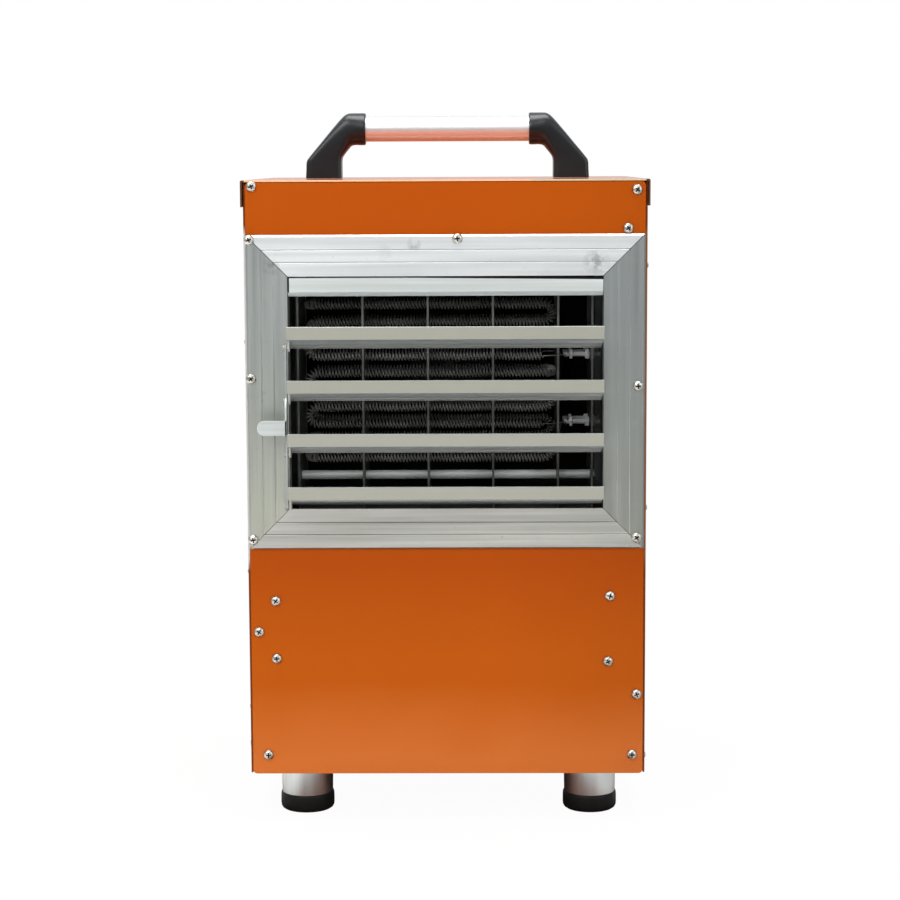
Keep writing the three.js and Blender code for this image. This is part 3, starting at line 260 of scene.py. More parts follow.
def frame_marks_and_shade(groove_shading, seed, foot=None):
    """Marks of a frame bar: its grooves, painted darker as shade on the top and bottom bars and lighter as
    painted light on the side bars, its mitres, smudges, smears and specks, and the tone of its foot.
    """
    def marks_and_shade(t, base):
        x, y, z = t.split()
        beside = t.maths("ABSOLUTE", x)
        sunk = t.maths("GREATER_THAN", y, BAR_SUNK_Y)
        for operation, value, limit in (("LESS_THAN", beside, BAR_SUNK_X), ("LESS_THAN", z, BAR_SUNK_Z[1]),
                                        ("GREATER_THAN", z, BAR_SUNK_Z[0])):
            sunk = t.maths("MULTIPLY", sunk, t.maths(operation, value, limit))
        # Painted shade in the grooves where the share is under 1, painted light where it is over 1.
        base = t.mix(sunk, base, (groove_shading,) * 3, "MULTIPLY")
        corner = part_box("grille_bar_top")[1]
        off_mitre = t.maths("SUBTRACT", t.maths("SUBTRACT", beside, z), corner.x - corner.z)
        joint = t.ramp(t.maths("ABSOLUTE", off_mitre), 0.0003, 0.0006, 1.0, 0.0)
        base = t.mix(joint, base, (0.34, 0.35, 0.35), "MULTIPLY")
        patchy = t.ramp(t.noise(190, 3, 0.6, seed=seed + 11), 0.42, 0.60)
        for at_x, at_z, reach in SMUDGES:
            off = t.node("VectorMath", {0: t.place, 1: (at_x, SMUDGE_Y, at_z)}, operation="DISTANCE")
            near = t.ramp(off.outputs["Value"], 0.2 * reach, reach, 0.6, 0.0)
            base = t.mix(t.maths("MULTIPLY", near, patchy), base, (0.26, 0.27, 0.27))
        smear = t.ramp(t.noise(32, 4, 0.65, seed=seed + 8), 0.60, 0.74, 0.0, 0.32)
        base = t.mix(smear, base, (0.52, 0.54, 0.54))
        speck = t.ramp(t.noise(420, 2, 0.5, seed=seed + 9), 0.74, 0.78, 0.0, 0.6)
        base = t.mix(speck, base, (0.30, 0.31, 0.31))
        if foot:
            base = t.mix(t.ramp(z, 0.24, 0.38, 1.0, 0.0), base, foot, "MULTIPLY")
        return base
    return marks_and_shade


def tube_crest_shade(t, base):
    """A darker line painted along the crest of the handle's tube, as shade that sets its top edge off."""
    return t.mix(t.ramp(t.split()[2], 0.5400, 0.5413), base, (0.72, 0.75, 0.76), "MULTIPLY")


def link_bar_shade(t, base):
    """The link bar behind the lever is painted darker than the lever, as shade."""
    return t.mix(t.ramp(t.split()[1], -0.1575, -0.1568), base, (0.40, 0.41, 0.41), "MULTIPLY")


def blade_shading(t, base):
    """A louvre's web painted darker as shade, its rear edge painted lighter as highlight, its left end
    painted dark as shade, and its forward-facing lip painted a warm cream as reflection.
    """
    x, y, _ = t.split()
    base = t.mix(t.ramp(y, -0.166, -0.150, 1.0, 0.0), base, (0.60, 0.62, 0.62), "MULTIPLY")
    base = t.mix(t.ramp(y, -0.1295, -0.1285), base, (1.2, 1.2, 1.2), "MULTIPLY")
    base = t.mix(t.ramp(x, -0.1186, -0.1184, 1.0, 0.0), base, (0.5, 0.5, 0.5), "MULTIPLY")
    facing = t.node("SeparateXYZ", {0: t.normal}).outputs[1]
    return t.mix(t.ramp(facing, -0.9, -0.7, 1.0, 0.0), base, (0.418, 0.418, 0.358))


def strip_gap_shade(t, base):
    """The gap over the filler strip, wider to the right, and the slit at its left end, painted near black as
    shade.
    """
    low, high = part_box("grille_filler_strip")
    x, _, z = t.split()
    gap = t.ramp(x, low.x + 0.09, high.x, 0.0, 0.0016)
    above = t.maths("GREATER_THAN", t.maths("ADD", z, gap), high.z)
    at_end = t.maths("LESS_THAN", x, low.x + 0.0011)
    slit = t.maths("MULTIPLY", at_end, t.maths("GREATER_THAN", z, low.z + 0.003))
    return t.mix(t.maths("MAXIMUM", above, slit), base, (0.012, 0.012, 0.012))


def plastic(name, colour, rough, grain=1500, depth=0.12, specular=0.5):
    """Moulded plastic or rubber with a fine grain and a slight change of tone."""
    t = Tree(name)
    cloud = t.noise(25, 3, 0.6, seed=1.0)
    dark, light = (tuple(c * share for c in colour) for share in (0.75, 1.25))
    t.set(Base_Color=t.mix(t.ramp(cloud, 0.3, 0.7), dark, light), Metallic=0.0)
    t.set(Specular_IOR_Level=specular)
    t.set(Roughness=t.ramp(cloud, 0.3, 0.7, rough - 0.05, rough + 0.05))
    t.bump(t.noise(grain, 2, 0.5), depth, 0.0004)
    return t.material


def rack_plate():
    """Dark rack sheet whose thin front edges, towards the outlet, are painted lighter as highlight, the more
    so higher up.
    """
    t = Tree("rack_metal")
    _, y, z = t.split()
    cloud = t.noise(40, 3, 0.6, seed=10)
    edge = t.maths("LESS_THAN", y, RACK_EDGE_Y)
    height = t.ramp(z, 0.27, 0.40, 0.35, 1.0)
    face = t.mix(t.ramp(cloud, 0.4, 0.7), (0.05, 0.05, 0.046), (0.105, 0.10, 0.09))
    rim = t.mix(t.ramp(cloud, 0.4, 0.7), (0.20, 0.21, 0.19), (0.32, 0.33, 0.30))
    t.set(Base_Color=t.mix(t.maths("MULTIPLY", edge, height), face, rim), Metallic=0.6)
    t.set(Roughness=t.ramp(cloud, 0.3, 0.7, 0.40, 0.55))
    t.bump(cloud, 0.08, 0.0004)
    return t.material


paint = orange_paint("orange_paint", 0.05, (0.30, 0.38), PAINT_CUT_SHADE)
cover_paint = orange_paint("cover_paint", 0.6, (0.14, 0.22), COVER_CUT_SHADE, fold_highlight=True)
# The frame bars are one aluminium in lit and shaded copies: the top bar lighter as painted light, the right
# bar darker than the left as painted shade.
bar_top = metal("bar_top", (0.80, 0.84, 0.85), (0.97, 0.99, 0.99), 0, (0.40, 0.52), grime=0.06, seed=1,
                metallic=0.86, marks_and_shade=frame_marks_and_shade(0.50, 1))
bar_bottom = metal("bar_bottom", (0.44, 0.44, 0.41), (0.70, 0.70, 0.65), 0, (0.32, 0.44), grime=0.25, seed=2,
                   marks_and_shade=frame_marks_and_shade(0.60, 2))
bar_left = metal("bar_left", (0.43, 0.465, 0.455), (0.52, 0.555, 0.54), 2, (0.36, 0.48), grime=0.2, seed=3,
                 marks_and_shade=frame_marks_and_shade(1.2, 3, foot=(1.06, 1.02, 0.90)))
bar_right = metal("bar_right", (0.365, 0.40, 0.395), (0.44, 0.475, 0.47), 2, (0.36, 0.48), grime=0.2, seed=13,
                  marks_and_shade=frame_marks_and_shade(1.25, 13, foot=(0.95, 0.91, 0.85)))
blade_metal = metal("blade_metal", (0.66, 0.68, 0.68), (0.84, 0.86, 0.86), 0, (0.38, 0.50), seed=4,
                    metallic=0.5, marks_and_shade=blade_shading)
bright_tube = metal("bright_tube", (0.90, 0.92, 0.93), (0.94, 0.96, 0.97), 0, (0.33, 0.38), grime=0.02,
                    seed=5, metallic=0.82, marks_and_shade=tube_crest_shade)
leg_metal = metal("leg_metal", (0.60, 0.66, 0.655), (0.80, 0.86, 0.855), 2, (0.20, 0.30), streaks=150,
                  grime=0.15, seed=6)
zinc = metal("zinc", (0.36, 0.38, 0.38), (0.50, 0.52, 0.52), 2, (0.36, 0.52), streaks=60, length=20, seed=7)
# A lighter copy of the zinc, as painted light, for the tie rod and the studs.
lit_zinc = metal("lit_zinc", (0.88, 0.91, 0.90), (0.98, 0.99, 0.98), 0, (0.30, 0.40), grime=0.04,
                    seed=8, metallic=0.2)
lever_metal = metal("lever_metal", (0.56, 0.605, 0.59), (0.69, 0.735, 0.715), 0, (0.36, 0.46), seed=14,
                    metallic=0.5, marks_and_shade=link_bar_shade)
strip_metal = metal("strip_metal", (0.75, 0.80, 0.785), (0.88, 0.925, 0.91), 0, (0.40, 0.52), grime=0.06,
                    seed=12, metallic=0.86, marks_and_shade=strip_gap_shade)
screw_metal = metal("screw_metal", (0.48, 0.465, 0.42), (0.76, 0.745, 0.68), 0, (0.24, 0.36), streaks=400,
                    length=300, seed=9)
wire_metal = metal("wire_metal", (0.19, 0.19, 0.175), (0.33, 0.325, 0.30), 0, (0.42, 0.52), streaks=500,
                   length=90, seed=11, metallic=0.35)
rack_metal = rack_plate()
# Screw recesses are painted near black as shade.
recess_shade = plastic("recess_shade", (0.012, 0.012, 0.012), 0.6)
# A near-black copy of the zinc for the duct, as painted shade inside the case.
duct_shade = plastic("duct_shade", (0.052, 0.060, 0.056), 0.55, 300, 0.1)
black_plastic = plastic("black_plastic", (0.0014, 0.0038, 0.0066), 0.33, 1800, 0.05, specular=0.58)
rubber = plastic("rubber", (0.0050, 0.0062, 0.0058), 0.45, 1200, 0.2, specular=0.2)
black_steel = plastic("black_steel", (0.016, 0.017, 0.018), 0.36, 2200, 0.1)
fan_plastic = plastic("fan_plastic", (0.010, 0.0105, 0.011), 0.45, 1500, 0.08, specular=0.3)
# A darker, duller copy of the black steel for the fan ring, as painted shade.
ring_shade_black = plastic("ring_shade_black", (0.006, 0.0062, 0.0065), 0.80, 1500, 0.08, specular=0.0)
grey_plastic = plastic("grey_plastic", (0.26, 0.28, 0.29), 0.5)
dial_white = plastic("dial_white", (0.72, 0.72, 0.70), 0.5)
lamp_red = plastic("lamp_red", (0.45, 0.02, 0.012), 0.2, 900, 0.02)

SLOT_MATERIAL = {
    "orange_paint": paint,
    "aluminium": bar_left,
    "bright_aluminium": bright_tube,
    "zinc_steel": zinc,
    "dark_steel": rack_metal,
    "heater_wire": wire_metal,
    "black_plastic": black_plastic,
    "rubber": rubber,
    "black_steel": black_steel,
    "grey_plastic": grey_plastic,
    "lamp_red": lamp_red,
}
NODE_MATERIAL = {
    "air_duct": duct_shade,
    "top_cover": cover_paint,
    "grille_bar_top": bar_top,
    "grille_bar_bottom": bar_bottom,
    "grille_bar_right": bar_right,
    "grille_filler_strip": strip_metal,
    "fan_ring": ring_shade_black,
    "rack_tie_rod": lit_zinc,
    **{f"louvre_blade_{i}": blade_metal for i in range(1, 5)},
}


# ---------------- meshes
def linked(name, data):
    """An object with its data, in the scene."""
    made = bpy.data.objects.new(name, data)
    bpy.context.scene.collection.objects.link(made)
    return made


def linked_mesh(name, verts, faces):
    """A mesh object in the scene, from points in the scene's own unit."""
    data = bpy.data.meshes.new(name)
    data.from_pydata(verts, [], faces)
    return linked(name, data)


def add_mesh(name, verts, faces, surface, body=BODY, slot=None, sharp=35.0):
    """A smooth mesh piece from points in mm, riding on a body; edges over the sharp angle stay sharp."""
    made = linked_mesh(name, [tuple(c * MM for c in v) for v in verts], [tuple(f) for f in faces])
    data = made.data
    data.validate()
    data.materials.append(surface)
    data.polygons.foreach_set("use_smooth", [True] * len(data.polygons))
    data.set_sharp_from_angle(angle=math.radians(sharp))
    data.update()
    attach(made, body)
    return made


def add_bevel(made, width, angle, harden=False):
    """Rounds the edges over an angle by a width in mm."""
    bevel = made.modifiers.new("bevel", "BEVEL")
    bevel.width = width * MM
    bevel.segments = 2
    bevel.limit_method = "ANGLE"
    bevel.angle_limit = math.radians(angle)
    bevel.harden_normals = harden


def on_circle(radius, a):
    return radius * math.cos(a), radius * math.sin(a)


def arc(cu, cv, radius, first, last, steps=14):
    """Points of an arc about a centre, between two angles in degrees."""
    angles = (math.radians(first + (last - first) * k / steps) for k in range(steps + 1))
    return [(cu + radius * math.cos(a), cv + radius * math.sin(a)) for a in angles]


def lofted(rings, closed=False, flip=False):
    """Points and faces through rings of equally many points; an open loft has caps at its ends."""
    count = len(rings[0])
    verts = [tuple(p) for points in rings for p in points]
    faces = []
    for i in range(len(rings) if closed else len(rings) - 1):
        here, there = i * count, (i + 1) % len(rings) * count
        for k in range(count):
            n = (k + 1) % count
            faces.append((here + k, here + n, there + n, there + k))
    if not closed:
        last = (len(rings) - 1) * count
        faces += [tuple(range(count))[::-1], tuple(last + k for k in range(count))]
    return verts, [f[::-1] for f in faces] if flip else faces


def revolved(profile, sides, close=True):
    """Points and faces of (radius, height) pairs turned about +Z; ends on the axis are closed."""
    verts, faces, rings = [], [], []
    for radius, height in profile:
        if radius < 1e-6:
            rings.append([len(verts)])
            verts.append((0, 0, height))
        else:
            rings.append([len(verts) + k for k in range(sides)])
            verts += [(*on_circle(radius, 2 * math.pi * k / sides), height) for k in range(sides)]
    pairs = list(zip(rings, rings[1:]))
    if close and len(rings[0]) > 1 and len(rings[-1]) > 1:
        pairs.append((rings[-1], rings[0]))
    for low, high in pairs:
        for k in range(sides):
            n = (k + 1) % sides
            if len(low) == 1:
                faces.append((low[0], high[n], high[k]))
            elif len(high) == 1:
                faces.append((low[k], low[n], high[0]))
            else:
                faces.append((low[k], low[n], high[n], high[k]))
    return verts, faces


def tube(points, radius, sides):
    """Points and faces of a round tube along points, with rotation-minimising sections."""
    path = [Vector(p) for p in points]
    normal = (path[1] - path[0]).normalized().orthogonal().normalized()
    rings = []
    for i, at in enumerate(path):
        ahead = (path[min(i + 1, len(path) - 1)] - path[max(i - 1, 0)]).normalized()
        normal = (normal - ahead * normal.dot(ahead)).normalized()
        side = ahead.cross(normal)
        spots = (on_circle(radius, 2 * math.pi * k / sides) for k in range(sides))
        rings.append([at + u * normal + v * side for u, v in spots])
    return lofted(rings)


def joined(parts):
    """One list of points and faces from several."""
    verts, faces = [], []
    for some, more in parts:
        start = len(verts)
        verts += [tuple(v) for v in some]
        faces += [tuple(i + start for i in f) for f in more]
    return verts, faces


def placed(part, matrix):
    verts, faces = part
    return [tuple(matrix @ Vector(v)) for v in verts], faces


FACE_FRONT = Matrix.Rotation(math.radians(90), 4, "X")    # a piece's +Z turns to -Y
FACE_REAR = Matrix.Rotation(math.radians(-90), 4, "X")    # a piece's +Z turns to +Y
FACE_LEFT = Matrix.Rotation(math.radians(-90), 4, "Y")    # a piece's +Z turns to -X
FACE_RIGHT = Matrix.Rotation(math.radians(90), 4, "Y")    # a piece's +Z turns to +X


# ---------------- carried-over nodes
BEVELS = {
    "front_panel": 0.5, "rear_panel": 0.5, "side_panel_left": 0.4, "side_panel_right": 0.4, "top_cover": 0.4,
    "base_pan": 0.3, "grille_bar_top": 0.25, "grille_bar_bottom": 0.25, "grille_bar_left": 0.25,
    "grille_bar_right": 0.25, "grille_filler_strip": 0.3, "divider_shelf": 0.3,
    **{f"louvre_blade_{i}": 0.22 for i in range(1, 5)},
    "contactor": 0.6, "terminal_block": 0.5, "gear_plate": 0.3,
}


def dress_nodes():
    """Gives each carried-over node its surface, clean normals and, where it shows, rounded edges."""
    slots = {p["node"]: p["material_slot"] for p in frame["record"]["subparts"]}
    for name, node in nodes.items():
        surface = NODE_MATERIAL.get(name, SLOT_MATERIAL[slots[name]])
        node.data.materials.clear()
        node.data.materials.append(surface)
        for key in ("custom_normal", "sharp_face", "sharp_edge"):
            attribute = node.data.attributes.get(key)
            if attribute:
                node.data.attributes.remove(attribute)
        weld = node.modifiers.new("weld", "WELD")
        weld.merge_threshold = 1e-6
        node.data.polygons.foreach_set("use_smooth", [True] * len(node.data.polygons))
        if name in BEVELS:
            add_bevel(node, BEVELS[name], 35, harden=True)
        edge = node.modifiers.new("edge_split", "EDGE_SPLIT")
        edge.split_angle = math.radians(32)


# ---------------- screws
def screw_mesh():
    """Points, outer faces and recess faces of a pan head with a cross recess, seated at 0, in mm."""
    profile = [(0, -1.2), (2.0, -1.2), (2.0, 0), (3.95, 0), (4.0, 0.3), (3.85, 0.85), (3.4, 1.55),
               (2.6, 2.15), (1.4, 2.5), (0, 2.6)]
    head = linked_mesh("screw_head", *revolved(profile, 32, close=False))
    arms = [(-2.6, -0.56, 3.2), (2.6, -0.56, 3.2), (2.6, 0.56, 3.2), (-2.6, 0.56, 3.2),
            (-1.2, -0.4, 0.9), (1.2, -0.4, 0.9), (1.2, 0.4, 0.9), (-1.2, 0.4, 0.9)]
    sides = [(0, 1, 2, 3), (7, 6, 5, 4), (0, 4, 5, 1), (1, 5, 6, 2), (2, 6, 7, 3), (3, 7, 4, 0)]
    cutters = []
    for turn in (0, 90):
        part = placed((arms, sides), Matrix.Rotation(math.radians(turn), 4, "Z"))
        cutters.append(linked_mesh(f"screw_cut_{turn}", *part))
        cut = head.modifiers.new(f"cut_{turn}", "BOOLEAN")
        cut.operation = "DIFFERENCE"
        cut.solver = "EXACT"
        cut.object = cutters[-1]
    bpy.context.view_layer.update()
    result = head.evaluated_get(bpy.context.evaluated_depsgraph_get()).to_mesh()
    verts = [tuple(v.co) for v in result.vertices]
    outer, inner = [], []
    for face in result.polygons:
        x, y, z = face.center
        deep = z > 0.3 and max(abs(x), abs(y)) < 2.9 and (face.normal.z < 0.6 or z < 1.4)
        (inner if deep else outer).append(tuple(face.vertices))
    for spent in [head] + cutters:
        bpy.data.objects.remove(spent)
    return verts, outer, inner


def smaller(head, share):
    """The same screw head at a share of its size."""
    verts, outer, inner = head
    return [tuple(share * c for c in v) for v in verts], outer, inner


def add_screws(name, head, places, turn, seed):
    """One piece of several screws: places are (x, y, z) in mm, and turn faces the heads outwards."""
    draws = random.Random(seed)
    verts, outer, inner = head
    all_verts, all_outer, all_inner = [], [], []
    for place in places:
        spin = Matrix.Rotation(draws.uniform(0, math.pi / 2), 4, "Z")
        moved, _ = placed((verts, []), Matrix.Translation(Vector(place)) @ turn @ spin)
        start = len(all_verts)
        all_verts += moved
        all_outer += [tuple(i + start for i in f) for f in outer]
        all_inner += [tuple(i + start for i in f) for f in inner]
    made = add_mesh(name, all_verts, all_outer + all_inner, screw_metal, slot="zinc_steel")
    # The cross recesses get the near-black painted shade.
    made.data.materials.append(recess_shade)
    for face in list(made.data.polygons)[len(all_outer):]:
        face.material_index = 1


PANEL_SCREWS = [(-145.1, 487.5), (143.8, 484), (137.2, 455.4), (-130.8, 172.4), (-143.8, 148.3),
                (-130.6, 127.5), (-138, 51.8), (124.5, 175.8), (123.2, 124.9), (145.1, 99.2), (141.8, 51.8)]
FRAME_SCREWS = [(-147.2, 447.6), (9.1, 448.2), (-146.9, 343.2), (-147.1, 220.2), (144.8, 336.9),
                (144.3, 221.3)]
SIDE_SCREWS_LEFT = [(14, 370), (14, 193), (14, 87), (14, 58)]      # behind the panel face, height
SIDE_SCREWS_RIGHT = [(14, 427), (14, 242), (14, 48)]
SIDE_SCREWS_REAR = [(276, 60), (276, 250), (276, 440)]
REAR_SCREWS = [(x, z) for z in (50, 265, 478) for x in (-138, 138)] + [(0, 50), (0, 478)]
SIDE_FACE, REAR_FACE = 151.8, 290 + FRONT


def screws():
    head = screw_mesh()
    add_screws("panel_screws", head, [(x, FRONT, z) for x, z in PANEL_SCREWS], FACE_FRONT, seed=3)
    add_screws("grille_screws", head, [(x, FRONT - 3, z) for x, z in FRAME_SCREWS], FACE_FRONT, seed=4)
    small = smaller(head, 0.62)
    for name, side, places, turn in (("left", -1, SIDE_SCREWS_LEFT, FACE_LEFT),
                                     ("right", 1, SIDE_SCREWS_RIGHT, FACE_RIGHT)):
        sides = [(side * SIDE_FACE, y + FRONT, z) for y, z in places + SIDE_SCREWS_REAR]
        add_screws(f"side_screws_{name}", small, sides, turn, seed=5)
    add_screws("rear_screws", head, [(x, REAR_FACE, z) for x, z in REAR_SCREWS], FACE_REAR, seed=7)


# ---------------- handle, legs and caps
BRACKET_STATIONS = [
    # inner x, inner z, outer x, outer z, half depth, roundness
    (65.8, 519.7, 65.8, 543.3, 11.8, 2.0),
    (66.2, 519.0, 66.2, 544.0, 12.5, 2.0),
    (67.2, 518.7, 67.2, 544.3, 12.8, 2.0),
    (70.5, 518.7, 71.0, 544.3, 12.8, 2.1),
    (74.0, 518.8, 75.6, 544.3, 12.8, 2.3),
    (77.4, 518.0, 80.0, 543.9, 12.8, 2.7),
    (79.6, 515.6, 84.4, 541.0, 12.8, 3.2),
    (82.0, 512.8, 92.0, 532.4, 12.7, 4.2),
    (84.5, 509.4, 102.6, 519.6, 12.6, 6.0),
    (85.2, 506.5, 111.2, 509.2, 12.5, 8.0),
    (85.3, 504.0, 113.4, 505.4, 12.5, 8.5),
    (85.3, 498.0, 113.8, 498.6, 12.5, 9.0),
    (85.3, 492.3, 114.2, 492.3, 12.5, 9.0),
]
HANDLE_Y = 146 + FRONT


def spline(rows, steps):
    """Catmull-Rom points through rows, with steps between each pair."""
    grid = np.array(rows, float)
    grid = np.vstack([2 * grid[0] - grid[1], grid, 2 * grid[-1] - grid[-2]])
    found = []
    for i in range(1, len(grid) - 2):
        for k in range(steps):
            t = k / steps
            a, b, c, d = grid[i - 1:i + 3]
            found.append(0.5 * (2 * b + (c - a) * t + (2 * a - 5 * b + 4 * c - d) * t * t
                                + (3 * b - a - 3 * c + d) * t ** 3))
    return np.vstack([found, grid[-2]])


def handle_bracket(side, name):
    """A moulded bracket, superelliptic from the tube's nose down to its foot; side is -1 or 1."""
    sides = 72
    rings = []
    for row in spline(BRACKET_STATIONS, 4):
        inner, outer = np.array(row[0:2]), np.array(row[2:4])
        middle, half = (inner + outer) / 2, (outer - inner) / 2
        power = 2 / row[5]
        points = []
        for k in range(sides):
            c, s = on_circle(1, 2 * math.pi * k / sides)
            x, z = middle + half * math.copysign(abs(c) ** power, c)
            points.append((side * x, HANDLE_Y + row[4] * math.copysign(abs(s) ** power, s), z))
        rings.append(points)
    made = add_mesh(name + "_moulding", *lofted(rings, flip=side > 0), black_plastic, slot="black_plastic",
                    sharp=40)
    add_bevel(made, 0.6, 50)
    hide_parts(name)


def handle():
    handle_bracket(-1, "handle_bracket_left")
    handle_bracket(1, "handle_bracket_right")
    part = revolved([(8.5, -74), (10, -74), (10, 74), (8.5, 74)], 72)
    turn = Matrix.Translation((0, HANDLE_Y, 531.5)) @ FACE_RIGHT
    made = add_mesh("handle_bar", *placed(part, turn), bright_tube, slot="bright_aluminium")
    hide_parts("handle_tube")


LEG_PLACES = {"front_left": (-111, 38), "front_right": (111, 38),
              "rear_left": (-111, 252), "rear_right": (111, 252)}     # x, and behind the panel face


def legs():
    leg = revolved([(17.5, 4.2), (19.4, 4.2), (19.75, 4.6), (20.0, 20), (20.2, 36.6), (17.8, 36.6)], 72)
    cap = revolved([(0, 0), (16.5, 0), (18.6, 0.35), (20.0, 1.3), (20.8, 2.8), (21.0, 4.5), (20.95, 11.5),
                    (20.7, 13.1), (20.3, 13.8), (19.95, 14.0), (19.8, 13.6), (19.8, 4.1), (0, 4.1)], 72,
                   close=False)
    for place, (x, y) in LEG_PLACES.items():
        spot = Matrix.Translation((x, y + FRONT, 0))
        made = add_mesh(f"leg_tube_{place}", *placed(leg, spot), leg_metal, slot="bright_aluminium")
        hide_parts(f"foot_leg_{place}")
        made = add_mesh(f"leg_cap_{place}", *placed(cap, spot), rubber, slot="rubber")
        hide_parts(f"foot_cap_{place}")


# ---------------- heating coils
ROW_TOP, ROW_PITCH = 395.7, 13.2
LAYERS = {"F": 45 + FRONT, "R": 90 + FRONT}
ROW_RIGHT, ROW_LEFT = 75.6, -100.8
COIL_RADIUS, COIL_WIRE, COIL_PITCH = 2.95, 0.46, 2.6
PLATES = (-113.9, -64.0, -14.1, 35.8, 85.7)
UPPER_ROWS = ("F3", "F2", "R2", "R1", "R0", "F0", "F1", "R3")
LOWER_ROWS = ("F7", "F6", "F5", "F4", "R4", "R5", "R6", "R7", "R8", "F8", "F9", "R9")
STUD_END = 91.05
RACK_END, RACK_WALL = 111.8, 0.9       # middle and half wall of the plate that holds the studs


def row_place(tag):
    return LAYERS[tag[0]], ROW_TOP - ROW_PITCH * int(tag[1:])


def sag_at(x):
    """How far a row hangs between its plates, 0 to 1."""
    for low, high in zip(PLATES, PLATES[1:]):
        if low <= x <= high:
            return math.sin(math.pi * (x - low) / (high - low)) ** 2
    return 0.0


def coil_centre(tags, draws):
    """Points of a coil's centreline through its rows, starting and ending at the right."""
    points, heading = [], -1
    for i, tag in enumerate(tags):
        y, z = row_place(tag)
        drop, slope = draws.uniform(0.2, 0.9), draws.uniform(-0.25, 0.25)
        ends = (ROW_RIGHT, ROW_LEFT) if heading < 0 else (ROW_LEFT, ROW_RIGHT)
        for x in np.linspace(*ends, 120):
            points.append((x, y + 0.3 * math.sin(x / 23 + i), z - drop * sag_at(x) + slope * x / 90))
        if i + 1 < len(tags):
            y_next, z_next = row_place(tags[i + 1])
            here, there = Vector(points[-1]), Vector((ends[1], y_next, z_next))
            reach = heading * (6.6 if y == y_next else 8.0)
            for t in np.linspace(0, math.pi, 26)[1:-1]:
                middle = (here + there) / 2 + (here - there) / 2 * math.cos(t)
                points.append((middle.x + reach * math.sin(t), middle.y, middle.z))
            heading = -heading
    return np.array(points)


def resampled(points, step):
    """Points evenly spaced along a line, and how far along each lies."""
    gaps = np.linalg.norm(np.diff(points, axis=0), axis=1)
    along = np.concatenate([[0], np.cumsum(gaps)])
    places = np.linspace(0, along[-1], int(along[-1] / step))
    return np.column_stack([np.interp(places, along, points[:, k]) for k in range(3)]), places


def wound(tags, draws, start, end):
    """Wire points of a coil wound about its rows, with straight leads to its two studs."""
    centre, along = resampled(coil_centre(tags, draws), COIL_PITCH / 9)
    total = along[-1]
    normal = Vector((0, 0, 1))
    tone = [draws.uniform(0, 6.28) for _ in range(4)]
    wire = []
    for i, (at, s) in enumerate(zip(centre, along)):
        ahead = Vector(centre[min(i + 1, len(centre) - 1)] - centre[max(i - 1, 0)]).normalized()
        normal = (normal - ahead * normal.dot(ahead)).normalized()
        side = ahead.cross(normal)
        wobble = 0.5 * math.sin(s / 41 + tone[0]) + 0.25 * math.sin(s / 17.7 + tone[1])
        angle = 2 * math.pi * s / COIL_PITCH + wobble
        radius = float(COIL_RADIUS * min(1, s / 3, (total - s) / 3))
        lean = 0.45 * math.cos(angle) + 0.15 * math.sin(s / 47 + tone[2]) * math.cos(angle)
        wire.append(Vector(at) + radius * (math.cos(angle) * normal + math.sin(angle) * side)
                    + ahead * lean)
    return [Vector(p) for p in start] + wire + [Vector(p) for p in end]


def stud_hook(y, z, from_left):
    """A lead's turn round a stud's left end."""
    turn = [(STUD_END + 1.6 + 0.25 * k, y + 2.5 * math.cos(a), z + 2.5 * math.sin(a))
            for k, a in ((k, math.radians(200 + 45 * k)) for k in range(8))]
    return turn[::-1] if from_left else turn


def coils():
    """The two heating coils, each one wire from its front stud to its rear one."""
    draws = random.Random(11)
    front, rear = 60 + FRONT, 82 + FRONT
    z3, z7, z9 = (ROW_TOP - ROW_PITCH * r for r in (3, 7, 9))
    for name, tags, stud_z, z_end in (("heating_coil_upper", UPPER_ROWS, z3, z3),
                                      ("heating_coil_lower", LOWER_ROWS, z7, z9)):
        start = stud_hook(front, stud_z, True)
        start += [(89.4, front - 8, stud_z), (86.5, LAYERS["F"] + 1, stud_z), (78, LAYERS["F"], stud_z)]
        end = [(78, LAYERS["R"], z_end), (86.5, LAYERS["R"] - 0.5, z_end)]
        end += [(88.8, rear + 4, (z_end + stud_z) / 2), (90, rear, stud_z - 3)]
        end += stud_hook(rear, stud_z, False)
        points = wound(tags, draws, start, end)
        made = add_mesh(name + "_wire", *tube(points, COIL_WIRE, 5), wire_metal, slot="heater_wire", sharp=80)
        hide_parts(name)


def threaded(start, end, radius, pitch=0.8, depth=0.28):
    """Profile of a threaded rod along +Z."""
    profile = [(0, start), (radius - depth, start)]
    h = start + pitch / 2
    while h < end - pitch:
        profile += [(radius, h), (radius - depth, h + pitch / 2)]
        h += pitch
    return profile + [(radius - depth, end), (0, end)]


def hex_nut(across, wall):
    """A chamfered hexagonal nut, from 0 to wall along +Z."""
    corner = across / math.cos(math.pi / 6) / 2
    rings = [(corner * 0.90, 0), (corner, wall * 0.14), (corner, wall * 0.86), (corner * 0.90, wall)]
    return revolved([(0, 0)] + rings + [(0, wall)], 6, close=False)


